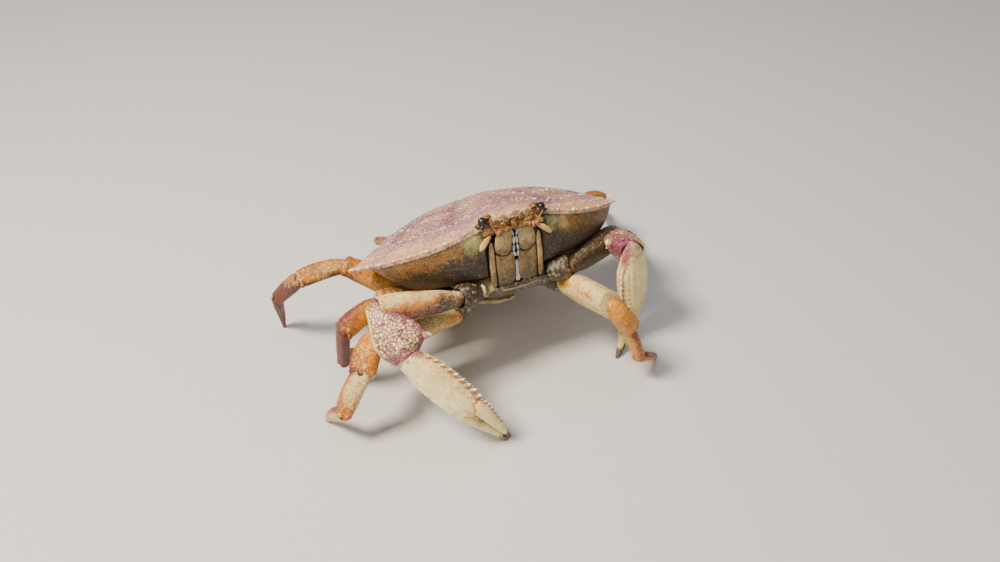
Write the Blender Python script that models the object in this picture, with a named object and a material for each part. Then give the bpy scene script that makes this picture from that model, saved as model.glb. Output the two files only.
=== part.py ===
"""A Dungeness crab (Metacarcinus magister), life size, reared up on its walking legs
with both claws set down in front. Metres, +Z up, floor at z = 0. The crab faces -Y
and its own left is +X. Lengths below are shares of the shell's width."""

from math import asin, atan2, cos, degrees, exp, pi, radians, sin

import bmesh
import bpy
from mathutils import Matrix, Vector

# ---------------------------------------------------------------- driving sizes
WIDTH = 0.155  # across the tips of the last side teeth
GAP = 0.0003 / WIDTH  # space kept between neighbours
BODY_HEIGHT = 0.389  # middle of the shell's rim above the floor
BODY_PITCH = 36.3  # front raised
BODY_ROLL = 1.8  # left side raised

SHELL_FRONT = 0.375  # rim's middle to the tip of the front
SHELL_BACK = 0.27  # rim's middle to the hind margin
SHELL_DOME = 0.147  # top of the back above the rim's side tips
DOME_POWER = 1.8  # fall of the dome towards the rim
SHELL_TOP_Y = -0.04  # where the back is highest
ARC_DEPTH = 0.355  # half-axis of the toothed front arc
RIM_RISE_FRONT = 0.062
RIM_RISE_REACH = 0.19  # how far to the sides that rise carries
RIM_DROP_BACK = 0.02
TOOTH_COUNT = 10
TOOTH_REACH = 0.015
EVENING_PASSES = 5  # how smooth the shell is inside its teeth
HORN_X = 0.163  # outer corner of the eye socket
BASE_Z = -0.128  # flat underside of the shell, over the legs' hips
BASE_HALF_X = 0.275
BASE_FRONT = 0.265
BASE_BACK = 0.228

EYE_SPOT = (0.103, -0.357, 0.054)
EYE_RADIUS = 0.0165
SOCKET_RADIUS = 0.026

MOUTH_TOP = (-0.347, 0.010)  # y and z where the mouth cover starts
MOUTH_FOOT = (-0.254, -0.168)
MOUTH_HALF = 0.095
COVER_THICK = 0.018
COVER_ROOM = 0.037  # from the cover's face to the shell behind it

STERNUM_TOP = BASE_Z - GAP

# Each limb pair: hip's root and hip's end in the shell's frame (left side), then the
# lengths of merus, carpus, propodus (to the finger's hinge on a claw) and dactyl.
LIMB_PAIRS = {
    "claw": {
        "root": (0.130, -0.224, -0.174), "end": (0.200, -0.270, -0.172),
        "lengths": (0.271, 0.168, 0.245, 0.232),
    },
    "leg1": {
        "root": (0.148, -0.130, -0.188), "end": (0.204, -0.152, -0.230),
        "lengths": (0.296, 0.145, 0.166, 0.190),
    },
    "leg2": {
        "root": (0.150, -0.034, -0.178), "end": (0.205, -0.006, -0.208),
        "lengths": (0.252, 0.159, 0.182, 0.217),
    },
    "leg3": {
        "root": (0.150, 0.060, -0.176), "end": (0.262, 0.100, -0.190),
        "lengths": (0.305, 0.165, 0.179, 0.208),
    },
    "leg4": {
        "root": (0.142, 0.140, -0.172), "end": (0.200, 0.175, -0.192),
        "lengths": (0.220, 0.130, 0.140, 0.160),
    },
}
# How stout each walking leg is: merus, carpus, propodus and dactyl.
LEG_SIZE = {
    "leg1": (1.26, 1.10, 0.88, 0.92),
    "leg2": (1.02, 0.92, 0.86, 0.88),
    "leg3": (0.80, 0.82, 0.84, 0.90),
    "leg4": (0.72, 0.74, 0.76, 0.80),
}

# The pose: heading (0 is the way the crab faces, 90 its left) and pitch of merus,
# carpus and propodus, then the dactyl's heading. The dactyl's pitch follows from the
# floor, which its tip reaches.
POSE = {
    ("right", "claw"): ((-87, 8), (17, -35), (54, -41), 77),
    ("left", "claw"): ((120, -6), (-5, 17), (117, -79), -46),
    ("right", "leg1"): ((-84, 6), (-30, -13), (-80, -62), -161),
    ("left", "leg1"): ((9, 20), (98, -59), (85, -72), 120),
    ("right", "leg2"): ((-85, 23), (-62, -6), (-170, -74), 150),
    ("left", "leg2"): ((100, 14), (108, -24), (150, -36), 134),
    ("right", "leg3"): ((-117, 31), (-84, 1), (-137, -48), 172),
    ("left", "leg3"): ((127, 28), (124, -27), (150, -50), 146),
    ("right", "leg4"): ((-166, 12), (-183, -6), (-178, -28), -174),
    ("left", "leg4"): ((155, 22), (166, -12), (169, -38), 164),
}
# Which way a claw's spiny upper edge looks on merus, carpus and palm.
CREST = {
    "right": ((-10, 75), (91, 27), (60, 47)),
    "left": ((0, 80), (-80, 30), (-60, -5)),
}

# Half sizes along a limb piece: share of its length, outer edge, inner edge, thickness.
WALKING = {
    "merus": ((0, 0.028, 0.029, 0.024), (0.16, 0.039, 0.036, 0.030), (0.45, 0.056, 0.048, 0.034),
              (0.75, 0.057, 0.046, 0.033), (0.93, 0.050, 0.044, 0.033), (1, 0.040, 0.038, 0.029)),
    "carpus": ((0, 0.032, 0.034, 0.024), (0.2, 0.042, 0.034, 0.029), (0.6, 0.046, 0.038, 0.031),
               (0.88, 0.043, 0.039, 0.030), (1, 0.035, 0.034, 0.026)),
    "propodus": ((0, 0.031, 0.032, 0.022), (0.2, 0.040, 0.037, 0.025), (0.6, 0.040, 0.038, 0.024),
                 (0.9, 0.035, 0.035, 0.022), (1, 0.029, 0.030, 0.019)),
    "dactyl": ((0, 0.027, 0.029, 0.018), (0.15, 0.033, 0.033, 0.020), (0.45, 0.028, 0.027, 0.017),
               (0.75, 0.018, 0.017, 0.012), (0.92, 0.010, 0.010, 0.008), (1, 0.0055, 0.0055, 0.0055)),
}
CLAW_ARM = {
    "merus": ((0, 0.026, 0.029, 0.026), (0.25, 0.038, 0.037, 0.035), (0.6, 0.048, 0.044, 0.041),
              (0.9, 0.050, 0.046, 0.042), (1, 0.034, 0.036, 0.031)),
    "carpus": ((0, 0.032, 0.033, 0.029), (0.25, 0.056, 0.052, 0.042), (0.55, 0.078, 0.068, 0.048),
               (0.82, 0.084, 0.064, 0.046), (1, 0.044, 0.044, 0.035)),
}
PALM = ((0, 0.032, 0.032, 0.028), (0.1, 0.052, 0.043, 0.034), (0.3, 0.065, 0.050, 0.038),
        (0.6, 0.066, 0.054, 0.039), (0.9, 0.060, 0.053, 0.036), (0.985, 0.053, 0.051, 0.033))
# Fingers: share of the length, middle above the fingers' line, half height, half thickness.
FIXED_FINGER = ((0.04, -0.030, 0.021, 0.028), (0.3, -0.026, 0.018, 0.023), (0.6, -0.018, 0.014, 0.018),
                (0.85, -0.007, 0.010, 0.012), (1, 0, 0.006, 0.007))
MOVING_FINGER = ((0.05, 0.030, 0.026, 0.026), (0.25, 0.031, 0.027, 0.024), (0.55, 0.026, 0.021, 0.019),
                 (0.8, 0.018, 0.013, 0.013), (0.95, 0.014, 0.006, 0.007))
FINGER_SET_OFF = 0.3  # how far the fingers run on along the palm before they turn
ROUND = 10  # corners of a limb's section

COLOURS = {
    "shell": (0.42, 0.30, 0.36),
    "ventral": (0.72, 0.62, 0.48),
    "mouth": (0.55, 0.45, 0.30),
    "eye": (0.02, 0.015, 0.012),
    "feeler": (0.60, 0.40, 0.25),
    "claw": (0.80, 0.62, 0.42),
    "leg": (0.75, 0.42, 0.16),
}


# ---------------------------------------------------------------- scene and helpers
def clear_scene():
    for obj in list(bpy.data.objects):
        bpy.data.objects.remove(obj)


def make_collection(name):
    collection = bpy.data.collections.new(name)
    bpy.context.scene.collection.children.link(collection)
    return collection


def make_material(name, colour, roughness=0.5):
    material = bpy.data.materials.new(name)
    material.use_nodes = True
    shader = material.node_tree.nodes["Principled BSDF"]
    shader.inputs["Base Color"].default_value = (*colour, 1)
    shader.inputs["Roughness"].default_value = roughness
    shader.inputs["Metallic"].default_value = 0
    return material


def make_empty(name, parent=None):
    empty = bpy.data.objects.new(name, None)
    PARTS.objects.link(empty)
    empty.parent = parent
    return empty


def add_object(name, mesh_builder, colour, parent, location=(0, 0, 0)):
    """Puts a bmesh into the scene as one closed, outward-facing object."""
    bmesh.ops.recalc_face_normals(mesh_builder, faces=mesh_builder.faces)
    mesh = bpy.data.meshes.new(name)
    mesh_builder.to_mesh(mesh)
    mesh_builder.free()
    mesh.shade_smooth()
    mesh.set_sharp_from_angle(angle=radians(40))
    obj = bpy.data.objects.new(name, mesh)
    PARTS.objects.link(obj)
    obj.parent = parent
    obj.location = location
    mesh.materials.append(make_material(name, COLOURS[colour]))
    return obj


def loft(rings):
    """A closed skin over rings of equally many points, its two ends fanned shut."""
    builder = bmesh.new()
    rows = [[builder.verts.new(point) for point in ring] for ring in rings]
    count = len(rings[0])
    for low, high in zip(rows, rows[1:]):
        for i in range(count):
            j = (i + 1) % count
            builder.faces.new((low[i], low[j], high[j], high[i]))
    for row in (rows[0], rows[-1]):
        middle = builder.verts.new(sum((v.co for v in row), Vector()) / count)
        for i in range(count):
            builder.faces.new((row[i], row[(i + 1) % count], middle))
    return builder


def direction(heading, pitch):
    """Unit vector for a heading from -Y towards +X and a pitch above the floor."""
    h, p = radians(heading), radians(pitch)
    return Vector((sin(h) * cos(p), -cos(h) * cos(p), sin(p)))


def square_to(vector, axis):
    """The unit vector nearest to `vector` that is square to `axis`."""
    return (vector - axis * vector.dot(axis)).normalized()


def section(up, side, outer, inner, thick, power=0.85):
    """Offsets round a limb's section: an egg-shaped, slightly boxy oval."""
    ring = []
    for i in range(ROUND):
        angle = 2 * pi * (i + 0.5) / ROUND
        c, s = cos(angle), sin(angle)
        across = thick * abs(c) ** power * (1 if c > 0 else -1)
        height = (outer if s > 0 else inner) * abs(s) ** power * (1 if s > 0 else -1)
        ring.append(side * across + up * height)
    return ring


def limb_rings(start, end, up, stations, start_plane, end_plane, keep=GAP / 2):
    """Rings from start to end. The first and last are cut on the given planes
    (normals along the limb), and the slant fades out towards the middle."""
    axis = (end - start).normalized()
    length = (end - start).length
    up = square_to(up, axis)
    side = axis.cross(up)
    rings = []
    for share, outer, inner, thick in stations:
        ring = []
        for offset in section(up, side, outer, inner, thick):
            from_start = (keep - offset.dot(start_plane)) / axis.dot(start_plane)
            from_end = (-keep - offset.dot(end_plane)) / axis.dot(end_plane)
            shift = (1 - share) ** 2 * from_start + share ** 2 * from_end
            point = start + axis * (length * share + shift) + offset
            past_start = keep - (point - start).dot(start_plane)
            past_end = keep + (point - end).dot(end_plane)
            point += axis * (max(past_start, 0) / axis.dot(start_plane))
            point -= axis * (max(past_end, 0) / axis.dot(end_plane))
            ring.append(point)
        rings.append(ring)
    return rings


def scaled(rings, origin):
    """Rings in shares of the width, made metres about their object's origin."""
    return [[(point - origin) * WIDTH for point in ring] for ring in rings]


# ---------------------------------------------------------------- shell
def rim_height(x, y):
    if y < 0:
        return RIM_RISE_FRONT * exp(-((x / RIM_RISE_REACH) ** 2))
    return -RIM_DROP_BACK * max(0.0, 1 - (x / 0.5) ** 2)


def front_margin():
    """Five blunt teeth between the eyes, then the notch of the eye socket."""
    points = []
    for k in range(5):
        x = k * 0.0215
        is_tip = k % 2 == 0
        reach = SHELL_FRONT - 0.45 * x * x / 0.09 * 0.3
        points.append((x, -(reach if is_tip else reach - 0.014)))
    points.append((0.102, -0.338))
    points.append((0.128, -0.330))
    points.append((0.148, -0.334))
    return points


def toothed_margin():
    """Ten forward-leaning teeth along an ellipse, the last one the widest point."""
    first = asin(HORN_X / 0.5)
    step = (pi / 2 - first) / (TOOTH_COUNT - 1)
    points = []
    for k in range(TOOTH_COUNT - 1):
        angle = first + k * step
        outward = Vector((sin(angle) / 0.5, -cos(angle) / ARC_DEPTH)).normalized()
        spot = Vector((0.5 * sin(angle), -ARC_DEPTH * cos(angle)))
        points.append(tuple(spot + outward * TOOTH_REACH * (0.55 + 0.45 * k / TOOTH_COUNT)))
        for share, inward in ((0.45, 0.1), (0.78, 0.35)):
            between = angle + share * step
            base = Vector((0.5 * sin(between), -ARC_DEPTH * cos(between)))
            points.append(tuple(base - outward * TOOTH_REACH * inward))
    points.append((0.5, 0))
    return points


def hind_margin():
    """From the last tooth in to the hind corner, then the gently bowed hind edge."""
    points = [(0.482, 0.016), (0.455, 0.034)]
    start, bend, end = Vector((0.43, 0.058)), Vector((0.325, 0.185)), Vector((0.18, 0.245))
    for k in range(6):
        t = k / 5
        points.append(tuple(start * (1 - t) ** 2 + bend * 2 * t * (1 - t) + end * t * t))
    points.extend([(0.155, 0.262), (0.10, SHELL_BACK - 0.004)])
    return points


def whole_rim():
    left = front_margin() + toothed_margin() + hind_margin()
    right = [(-x, y) for x, y in reversed(left) if x > 0]
    return [Vector((x, y, rim_height(x, y))) for x, y in left + [(0, SHELL_BACK)] + right]


def base_point(rim_point):
    """Where the shell's underside ends above the hips, in the same bearing."""
    bearing = atan2(rim_point.x / BASE_HALF_X, -rim_point.y / BASE_FRONT)
    depth = BASE_FRONT if abs(bearing) < pi / 2 else BASE_BACK
    s, c = sin(bearing), cos(bearing)
    x = BASE_HALF_X * abs(s) ** 0.75 * (1 if s > 0 else -1)
    y = -depth * abs(c) ** 0.75 * (1 if c > 0 else -1)
    return Vector((x, y, BASE_Z))


def front_share(y):
    """1 where the shell's underfold bulges, in front, and 0 where it is hollow, behind."""
    share = min(max((-0.04 - y) / 0.16, 0.0), 1.0)
    return share * share * (3 - 2 * share)


def mouth_line(z):
    """y of the mouth cover's outer face at a height."""
    share = (z - MOUTH_TOP[1]) / (MOUTH_FOOT[1] - MOUTH_TOP[1])
    return MOUTH_TOP[0] + share * (MOUTH_FOOT[0] - MOUTH_TOP[0])


def recessed_for_mouth(point):
    """Keeps the shell's front wall behind the mouth cover."""
    if abs(point.x) < MOUTH_HALF + 0.02 and point.z < MOUTH_TOP[1] + 0.012 and point.y < 0:
        behind = mouth_line(point.z) + COVER_ROOM
        point.y = max(point.y, behind)
    return point


def without_teeth(rim):
    """The rim's loop with its teeth evened out."""
    for _ in range(EVENING_PASSES):
        pairs = zip(rim[-1:] + rim[:-1], rim, rim[1:] + rim[:1])
        rim = [before / 4 + point / 2 + after / 4 for before, point, after in pairs]
    return rim


def shell_rings():
    rim = whole_rim()
    even = without_teeth(rim)
    top = Vector((0, SHELL_TOP_Y, 0))
    rings = []
    for share in (0.12, 0.3, 0.48, 0.64, 0.78, 0.89, 0.965):
        ring = []
        for point in even:
            flat = top + (Vector((point.x, point.y, 0)) - top) * share
            flat.z = point.z * share ** 2 + SHELL_DOME * (1 - share ** DOME_POWER)
            ring.append(flat)
        rings.append(ring)
    rings.append([point.copy() for point in rim])
    for share in (0.07, 0.2, 0.4, 0.62, 0.82, 1):
        ring = []
        for point in even:
            base = base_point(point)
            fast, slow = sin(share * pi / 2), 1 - cos(share * pi / 2)
            bulge = front_share(point.y)
            inward = 0.15 * share + 0.85 * (slow * bulge + fast * (1 - bulge))
            down = 0.15 * share + 0.85 * (fast * bulge + slow * (1 - bulge))
            spot = Vector((
                point.x + (base.x - point.x) * inward,
                point.y + (base.y - point.y) * inward,
                point.z + (base.z - point.z) * down,
            ))
            ring.append(recessed_for_mouth(spot) if share > 0.1 else spot)
        rings.append(ring)
    return rings


def socket_cutter(side):
    """The round hollow that an eye sits in."""
    x, y, z = EYE_SPOT
    bpy.ops.mesh.primitive_uv_sphere_add(segments=16, ring_count=10, radius=SOCKET_RADIUS * WIDTH)
    cutter = bpy.context.object
    cutter.name = "socket_cutter_" + side
    for collection in list(cutter.users_collection):
        collection.objects.unlink(cutter)
    CUTTERS.objects.link(cutter)
    cutter.parent = BODY
    sign = 1 if side == "left" else -1
    cutter.location = Vector((sign * (x - 0.002), y, z - 0.006)) * WIDTH
    cutter.scale = (1.25, 1.0, 0.85)
    cutter.hide_render = True
    cutter.display_type = "WIRE"
    return cutter


def make_shell():
    shell = add_object("carapace", loft(scaled(shell_rings(), Vector())), "shell", BODY)
    for side in ("left", "right"):
        cut = shell.modifiers.new("eye_socket_" + side, "BOOLEAN")
        cut.operation = "DIFFERENCE"
        cut.solver = "EXACT"
        cut.object = socket_cutter(side)


# ---------------------------------------------------------------- underside
def slab_ring(y, half, bottom, top, corners=6):
    """A section across the body: flat on top, bowed below."""
    ring = [Vector((half, y, top)), Vector((-half, y, top))]
    for k in range(corners + 1):
        angle = pi * k / corners
        bow = sin(angle) ** 0.6 if 0 < k < corners else 0
        ring.append(Vector((-half * cos(angle), y, bottom + 0.022 * (1 - bow))))
    return ring


def make_sternum():
    stations = ((-0.222, 0.070, -0.198), (-0.205, 0.104, -0.206), (-0.15, 0.130, -0.210),
                (-0.05, 0.143, -0.208), (0.05, 0.143, -0.205), (0.13, 0.135, -0.200),
                (0.19, 0.105, -0.190), (0.215, 0.060, -0.180))
    rings = [slab_ring(y, half, bottom, STERNUM_TOP) for y, half, bottom in stations]
    add_object("sternum", loft(scaled(rings, Vector())), "ventral", BODY)


def make_abdomen():
    """The tail flap: from behind the shell, round under the body, to a blunt tip."""
    path = ((0.286, -0.032, 0.150), (0.290, -0.075, 0.148), (0.278, -0.130, 0.138),
            (0.252, -0.185, 0.122), (0.205, -0.224, 0.104), (0.13, -0.232, 0.086),
            (0.05, -0.235, 0.066), (-0.03, -0.236, 0.046), (-0.085, -0.236, 0.020))
    thick = 0.009
    rings = []
    for k, (y, z, half) in enumerate(path):
        before = path[max(k - 1, 0)]
        after = path[min(k + 1, len(path) - 1)]
        along = Vector((0, after[0] - before[0], after[1] - before[1])).normalized()
        out = Vector((0, -along.z, along.y)) * -1
        middle = Vector((0, y, z))
        ring = []
        for x, lift in ((-1, 0.2), (-0.8, 1), (-0.3, 1.35), (0.3, 1.35), (0.8, 1), (1, 0.2),
                        (1, -0.6), (0.4, -1), (-0.4, -1), (-1, -0.6)):
            ring.append(middle + Vector((x * half, 0, 0)) + out * thick * lift)
        rings.append(ring)
    add_object("abdomen", loft(scaled(rings, Vector())), "ventral", BODY)


# ---------------------------------------------------------------- face
def mouth_point(x, down, depth=0.0):
    """A point on the mouth cover: down is 0 at its top and 1 at its foot."""
    y = MOUTH_TOP[0] + down * (MOUTH_FOOT[0] - MOUTH_TOP[0])
    z = MOUTH_TOP[1] + down * (MOUTH_FOOT[1] - MOUTH_TOP[1])
    slope = Vector((0, MOUTH_FOOT[0] - MOUTH_TOP[0], MOUTH_FOOT[1] - MOUTH_TOP[1])).normalized()
    inward = Vector((0, -slope.z, slope.y))
    return Vector((x, y, z)) + inward * depth


def make_mouth_cover(side):
    """Third maxilliped: two broad plates one above the other, joined at the foot to
    the narrow outer branch beside them."""
    sign = 1 if side == "left" else -1
    outline = ((0.010, 0.10), (0.026, 0.02), (0.053, 0.0), (0.067, 0.08), (0.064, 0.40),
               (0.059, 0.47), (0.061, 0.53), (0.060, 0.90), (0.069, 0.93), (0.071, 0.24),
               (0.082, 0.19), (0.092, 0.24), (0.088, 0.97), (0.053, 1.02), (0.019, 0.98),
               (0.009, 0.80), (0.009, 0.56), (0.016, 0.47), (0.010, 0.36))
    builder = bmesh.new()
    front = [builder.verts.new(mouth_point(sign * x, down) * WIDTH) for x, down in outline]
    back = [builder.verts.new(mouth_point(sign * x, down, COVER_THICK) * WIDTH) for x, down in outline]
    builder.faces.new(front)
    builder.faces.new(list(reversed(back)))
    for i in range(len(outline)):
        j = (i + 1) % len(outline)
        builder.faces.new((front[i], back[i], back[j], front[j]))
    add_object("maxilliped_" + side, builder, "mouth", BODY)


def tube_rings(path, corners=8):
    """Round sections along a path of (point, radius)."""
    rings = []
    for k, (point, radius) in enumerate(path):
        before = path[max(k - 1, 0)][0]
        after = path[min(k + 1, len(path) - 1)][0]
        axis = (after - before).normalized()
        up = square_to(Vector((0.3, 0.2, 1)), axis)
        side = axis.cross(up)
        rings.append([
            point + (up * sin(2 * pi * i / corners) + side * cos(2 * pi * i / corners)) * radius
            for i in range(corners)
        ])
    return rings


def make_eye(side):
    """A short stalk that leans outward and ends in a rounded eye."""
    sign = 1 if side == "left" else -1
    x, y, z = EYE_SPOT
    tip = Vector((sign * (x + 0.009), y - 0.004, z + 0.009))
    root = Vector((sign * (x - 0.022), y + 0.004, z - 0.020))
    lean = tip - root
    rings = []
    for share, size in ((0, 0.55), (0.25, 0.6), (0.42, 0.72), (0.52, 0.93), (0.66, 1), (0.8, 0.9),
                        (0.92, 0.62), (1, 0.22)):
        rings.append((root + lean * share, EYE_RADIUS * size))
    add_object("eye_" + side, loft(scaled(tube_rings(rings, 12), Vector())), "eye", BODY)


def make_antenna(side):
    """A stout first joint beside the mouth and a short thread-like lash."""
    sign = 1 if side == "left" else -1
    path = (((0.052, -0.366, 0.010), 0.006), ((0.056, -0.372, 0.006), 0.010),
            ((0.064, -0.376, 0.005), 0.011), ((0.070, -0.380, 0.010), 0.007),
            ((0.074, -0.384, 0.018), 0.0038), ((0.082, -0.391, 0.030), 0.0026),
            ((0.091, -0.400, 0.041), 0.0019))
    path = [(Vector((sign * x, y, z)), radius) for (x, y, z), radius in path]
    add_object("antenna_" + side, loft(scaled(tube_rings(path, 8), Vector())), "feeler", BODY)


# ---------------------------------------------------------------- limbs
def body_matrix():
    lift = Matrix.Translation((0, 0, BODY_HEIGHT))
    pitch = Matrix.Rotation(radians(-BODY_PITCH), 4, "X")
    roll = Matrix.Rotation(radians(-BODY_ROLL), 4, "Y")
    return lift @ pitch @ roll


def joints_of(side, pair):
    """Hip root, hip end and the four joints down to the tip, on the floor's frame."""
    sign = 1 if side == "left" else -1
    spec = LIMB_PAIRS[pair]
    to_floor = body_matrix()
    points = [to_floor @ Vector((sign * x, y, z)) for x, y, z in (spec["root"], spec["end"])]
    *angles, last_heading = POSE[side, pair]
    for length, (heading, pitch) in zip(spec["lengths"], angles):
        points.append(points[-1] + direction(heading, pitch) * length)
    reach = spec["lengths"][3]
    drop = -degrees(asin(points[-1].z / reach))
    points.append(points[-1] + direction(last_heading, drop) * reach)
    return points


def parting(before, middle, after):
    """The plane between two limb pieces, as a normal along the limb."""
    return ((middle - before).normalized() + (after - middle).normalized()).normalized()


def add_piece(name, rings, colour, origin):
    add_object(name, loft(scaled(rings, origin)), colour, ROOT, origin * WIDTH)


def make_hip(side, pair, joints, size):
    """Coxa and ischium: a short stub that starts flat against the sternum."""
    sign = 1 if side == "left" else -1
    sideways = body_matrix().to_3x3() @ Vector((sign, 0, 0))
    up = body_matrix().to_3x3() @ Vector((0, 0, 1))
    end_plane = parting(joints[0], joints[1], joints[2])
    stations = [(share, outer * size, outer * size, thick * size) for share, outer, thick in
                ((0, 0.034, 0.036), (0.35, 0.038, 0.040), (0.8, 0.039, 0.041), (1, 0.034, 0.036))]
    rings = limb_rings(joints[0], joints[1], up, stations, sideways, end_plane)
    add_piece(f"{pair}_hip_{side}", rings, "ventral", joints[0])


def make_walking_leg(side, pair):
    joints = joints_of(side, pair)
    make_hip(side, pair, joints, min(LEG_SIZE[pair][0], 1.0))
    knee_bend = (joints[2] - joints[1]).normalized() - (joints[3] - joints[2]).normalized()
    for k, part in enumerate(("merus", "carpus", "propodus", "dactyl"), start=1):
        start, end = joints[k], joints[k + 1]
        start_plane = parting(joints[k - 1], start, end)
        is_tip = part == "dactyl"
        end_plane = Vector((0, 0, -1)) if is_tip else parting(start, end, joints[k + 2])
        size = LEG_SIZE[pair][k - 1]
        stations = [(share, o * size, i * size, t * size) for share, o, i, t in WALKING[part]]
        rings = limb_rings(start, end, knee_bend, stations, start_plane, end_plane)
        if is_tip:
            rings[-1] = on_floor(rings[-1])
        add_piece(f"{pair}_{part}_{side}", rings, "leg", start)


def on_floor(ring):
    return [Vector((point.x, point.y, 0)) for point in ring]


def finger_rings(hinge, tip, palm_axis, palm_up, stations):
    """Sections along a finger that leaves the palm straight on and turns to its tip."""
    bend = hinge + palm_axis * FINGER_SET_OFF * (tip - hinge).length
    rings = []
    for share, lift, tall, thick in stations:
        middle = hinge * (1 - share) ** 2 + bend * 2 * share * (1 - share) + tip * share ** 2
        axis = ((bend - hinge) * (1 - share) + (tip - bend) * share).normalized()
        up = square_to(palm_up, axis)
        side = axis.cross(up)
        rings.append([middle + up * lift + offset for offset in section(up, side, tall, tall, thick)])
    return rings


def make_claw(side):
    joints = joints_of(side, "claw")
    make_hip(side, "claw", joints, 1.0)
    crests = [direction(*angles) for angles in CREST[side]]
    for k, part in ((1, "merus"), (2, "carpus")):
        start, end = joints[k], joints[k + 1]
        planes = parting(joints[k - 1], start, end), parting(start, end, joints[k + 2])
        rings = limb_rings(start, end, crests[k - 1], CLAW_ARM[part], *planes)
        add_piece(f"claw_{part}_{side}", rings, "claw", start)
    wrist, hinge, tip = joints[3:6]
    palm_axis = (hinge - wrist).normalized()
    palm_up = square_to(crests[2], palm_axis)
    rings = limb_rings(wrist, hinge, palm_up, PALM, parting(joints[2], wrist, hinge), palm_axis)
    fixed = finger_rings(hinge, tip, palm_axis, palm_up, FIXED_FINGER)
    fixed[-1] = on_floor(fixed[-1])
    add_piece("claw_palm_" + side, rings + fixed, "claw", wrist)
    moving = finger_rings(hinge, tip, palm_axis, palm_up, MOVING_FINGER)
    add_piece("claw_finger_" + side, moving, "claw", hinge)


# ---------------------------------------------------------------- assembly
def centre_on_floor():
    """Moves the whole crab so that its box is centred over the origin."""
    bpy.context.view_layer.update()
    corners = []
    for obj in PARTS.objects:
        if obj.type == "MESH":
            corners.extend(obj.matrix_world @ vertex.co for vertex in obj.data.vertices)
    low_x, high_x = min(c.x for c in corners), max(c.x for c in corners)
    low_y, high_y = min(c.y for c in corners), max(c.y for c in corners)
    ROOT.location = (-(low_x + high_x) / 2, -(low_y + high_y) / 2, 0)


clear_scene()
PARTS = make_collection("dungeness_crab")
CUTTERS = make_collection("cutters")
ROOT = make_empty("crab")
BODY = make_empty("body", ROOT)
BODY.matrix_local = Matrix.Translation((0, 0, BODY_HEIGHT * WIDTH)) @ body_matrix().to_3x3().to_4x4()
make_shell()
make_sternum()
make_abdomen()
for SIDE in ("left", "right"):
    make_mouth_cover(SIDE)
    make_eye(SIDE)
    make_antenna(SIDE)
    make_claw(SIDE)
    for PAIR in ("leg1", "leg2", "leg3", "leg4"):
        make_walking_leg(SIDE, PAIR)
centre_on_floor()
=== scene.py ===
# %% [markdown]
# # A Dungeness crab, reared up on the sand
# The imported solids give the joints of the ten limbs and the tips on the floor. The shell
# is drawn at the pitch and roll that the solids have, and within 2 mm of their place.
# This script grows the looks on them, one hard plate at a time: shell, face, legs, claws,
# underside. Everything is in metres. The crab faces -Y, its own left is +X, and the floor
# is z = 0.

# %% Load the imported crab
from math import cos, pi, radians, sin

import bpy
import numpy as np
from mathutils import Matrix, Vector
from mathutils.kdtree import KDTree


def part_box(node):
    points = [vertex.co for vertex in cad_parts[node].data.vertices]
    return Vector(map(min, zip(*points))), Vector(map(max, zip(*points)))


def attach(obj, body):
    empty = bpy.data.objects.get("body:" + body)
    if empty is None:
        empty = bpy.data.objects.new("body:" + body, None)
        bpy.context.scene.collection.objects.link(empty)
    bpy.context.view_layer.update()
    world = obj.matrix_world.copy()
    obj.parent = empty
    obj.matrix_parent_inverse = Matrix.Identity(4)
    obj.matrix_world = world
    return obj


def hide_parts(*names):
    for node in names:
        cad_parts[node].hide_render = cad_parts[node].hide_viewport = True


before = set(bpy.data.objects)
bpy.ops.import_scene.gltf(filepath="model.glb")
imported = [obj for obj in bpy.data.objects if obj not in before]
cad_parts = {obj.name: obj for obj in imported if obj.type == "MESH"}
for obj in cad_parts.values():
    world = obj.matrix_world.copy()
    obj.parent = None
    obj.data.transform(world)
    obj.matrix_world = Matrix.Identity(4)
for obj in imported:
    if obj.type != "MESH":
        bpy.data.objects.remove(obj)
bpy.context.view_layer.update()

# %% [markdown]
# The shell, its face and the underside are drawn in the shell's own frame, in shares of
# its width: x to the crab's left, y to its back, z up, and 0 in the middle of the rim.
# One matrix then tips the whole body up by the pitch that the solids have.

# %% The body's own frame
WIDTH = 0.155
BODY_PITCH = 36.3
BODY_ROLL = 1.8
BODY_MIDDLE = (-0.00194, -0.00027, 0.0603)  # 2 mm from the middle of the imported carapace
SIDES = (("left", 1), ("right", -1))  # each side and the sign of its x
rim_low, rim_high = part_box("carapace")
BODY_PLACE = Matrix.Translation(BODY_MIDDLE)
BODY_TURN = Matrix.Rotation(radians(-BODY_PITCH), 4, "X") @ Matrix.Rotation(radians(-BODY_ROLL), 4, "Y")
BODY = BODY_PLACE @ BODY_TURN
BODY_ARRAY = np.array(BODY)
print("shell spans", [round(v, 4) for v in rim_high - rim_low])


def body_to_world(points):
    """Shares of the width in the body's frame, made metres in the scene."""
    return (np.asarray(points) * WIDTH) @ BODY_ARRAY[:3, :3].T + BODY_ARRAY[:3, 3]


def body_direction(vector):
    return Vector(BODY_ARRAY[:3, :3] @ np.asarray(vector, float)).normalized()


# %% [markdown]
# A crab's plates are closed, rounded skins. Each starts as a UV sphere, because its
# rings run neatly from pole to pole: every ring becomes one cross-section of the plate.
# The helper below adds that sphere and tells, for each of its points, how far it lies
# from pole to pole and where round the ring.

# %% Helpers for round skins
def deselect_all():
    bpy.ops.object.select_all(action="DESELECT")


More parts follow.
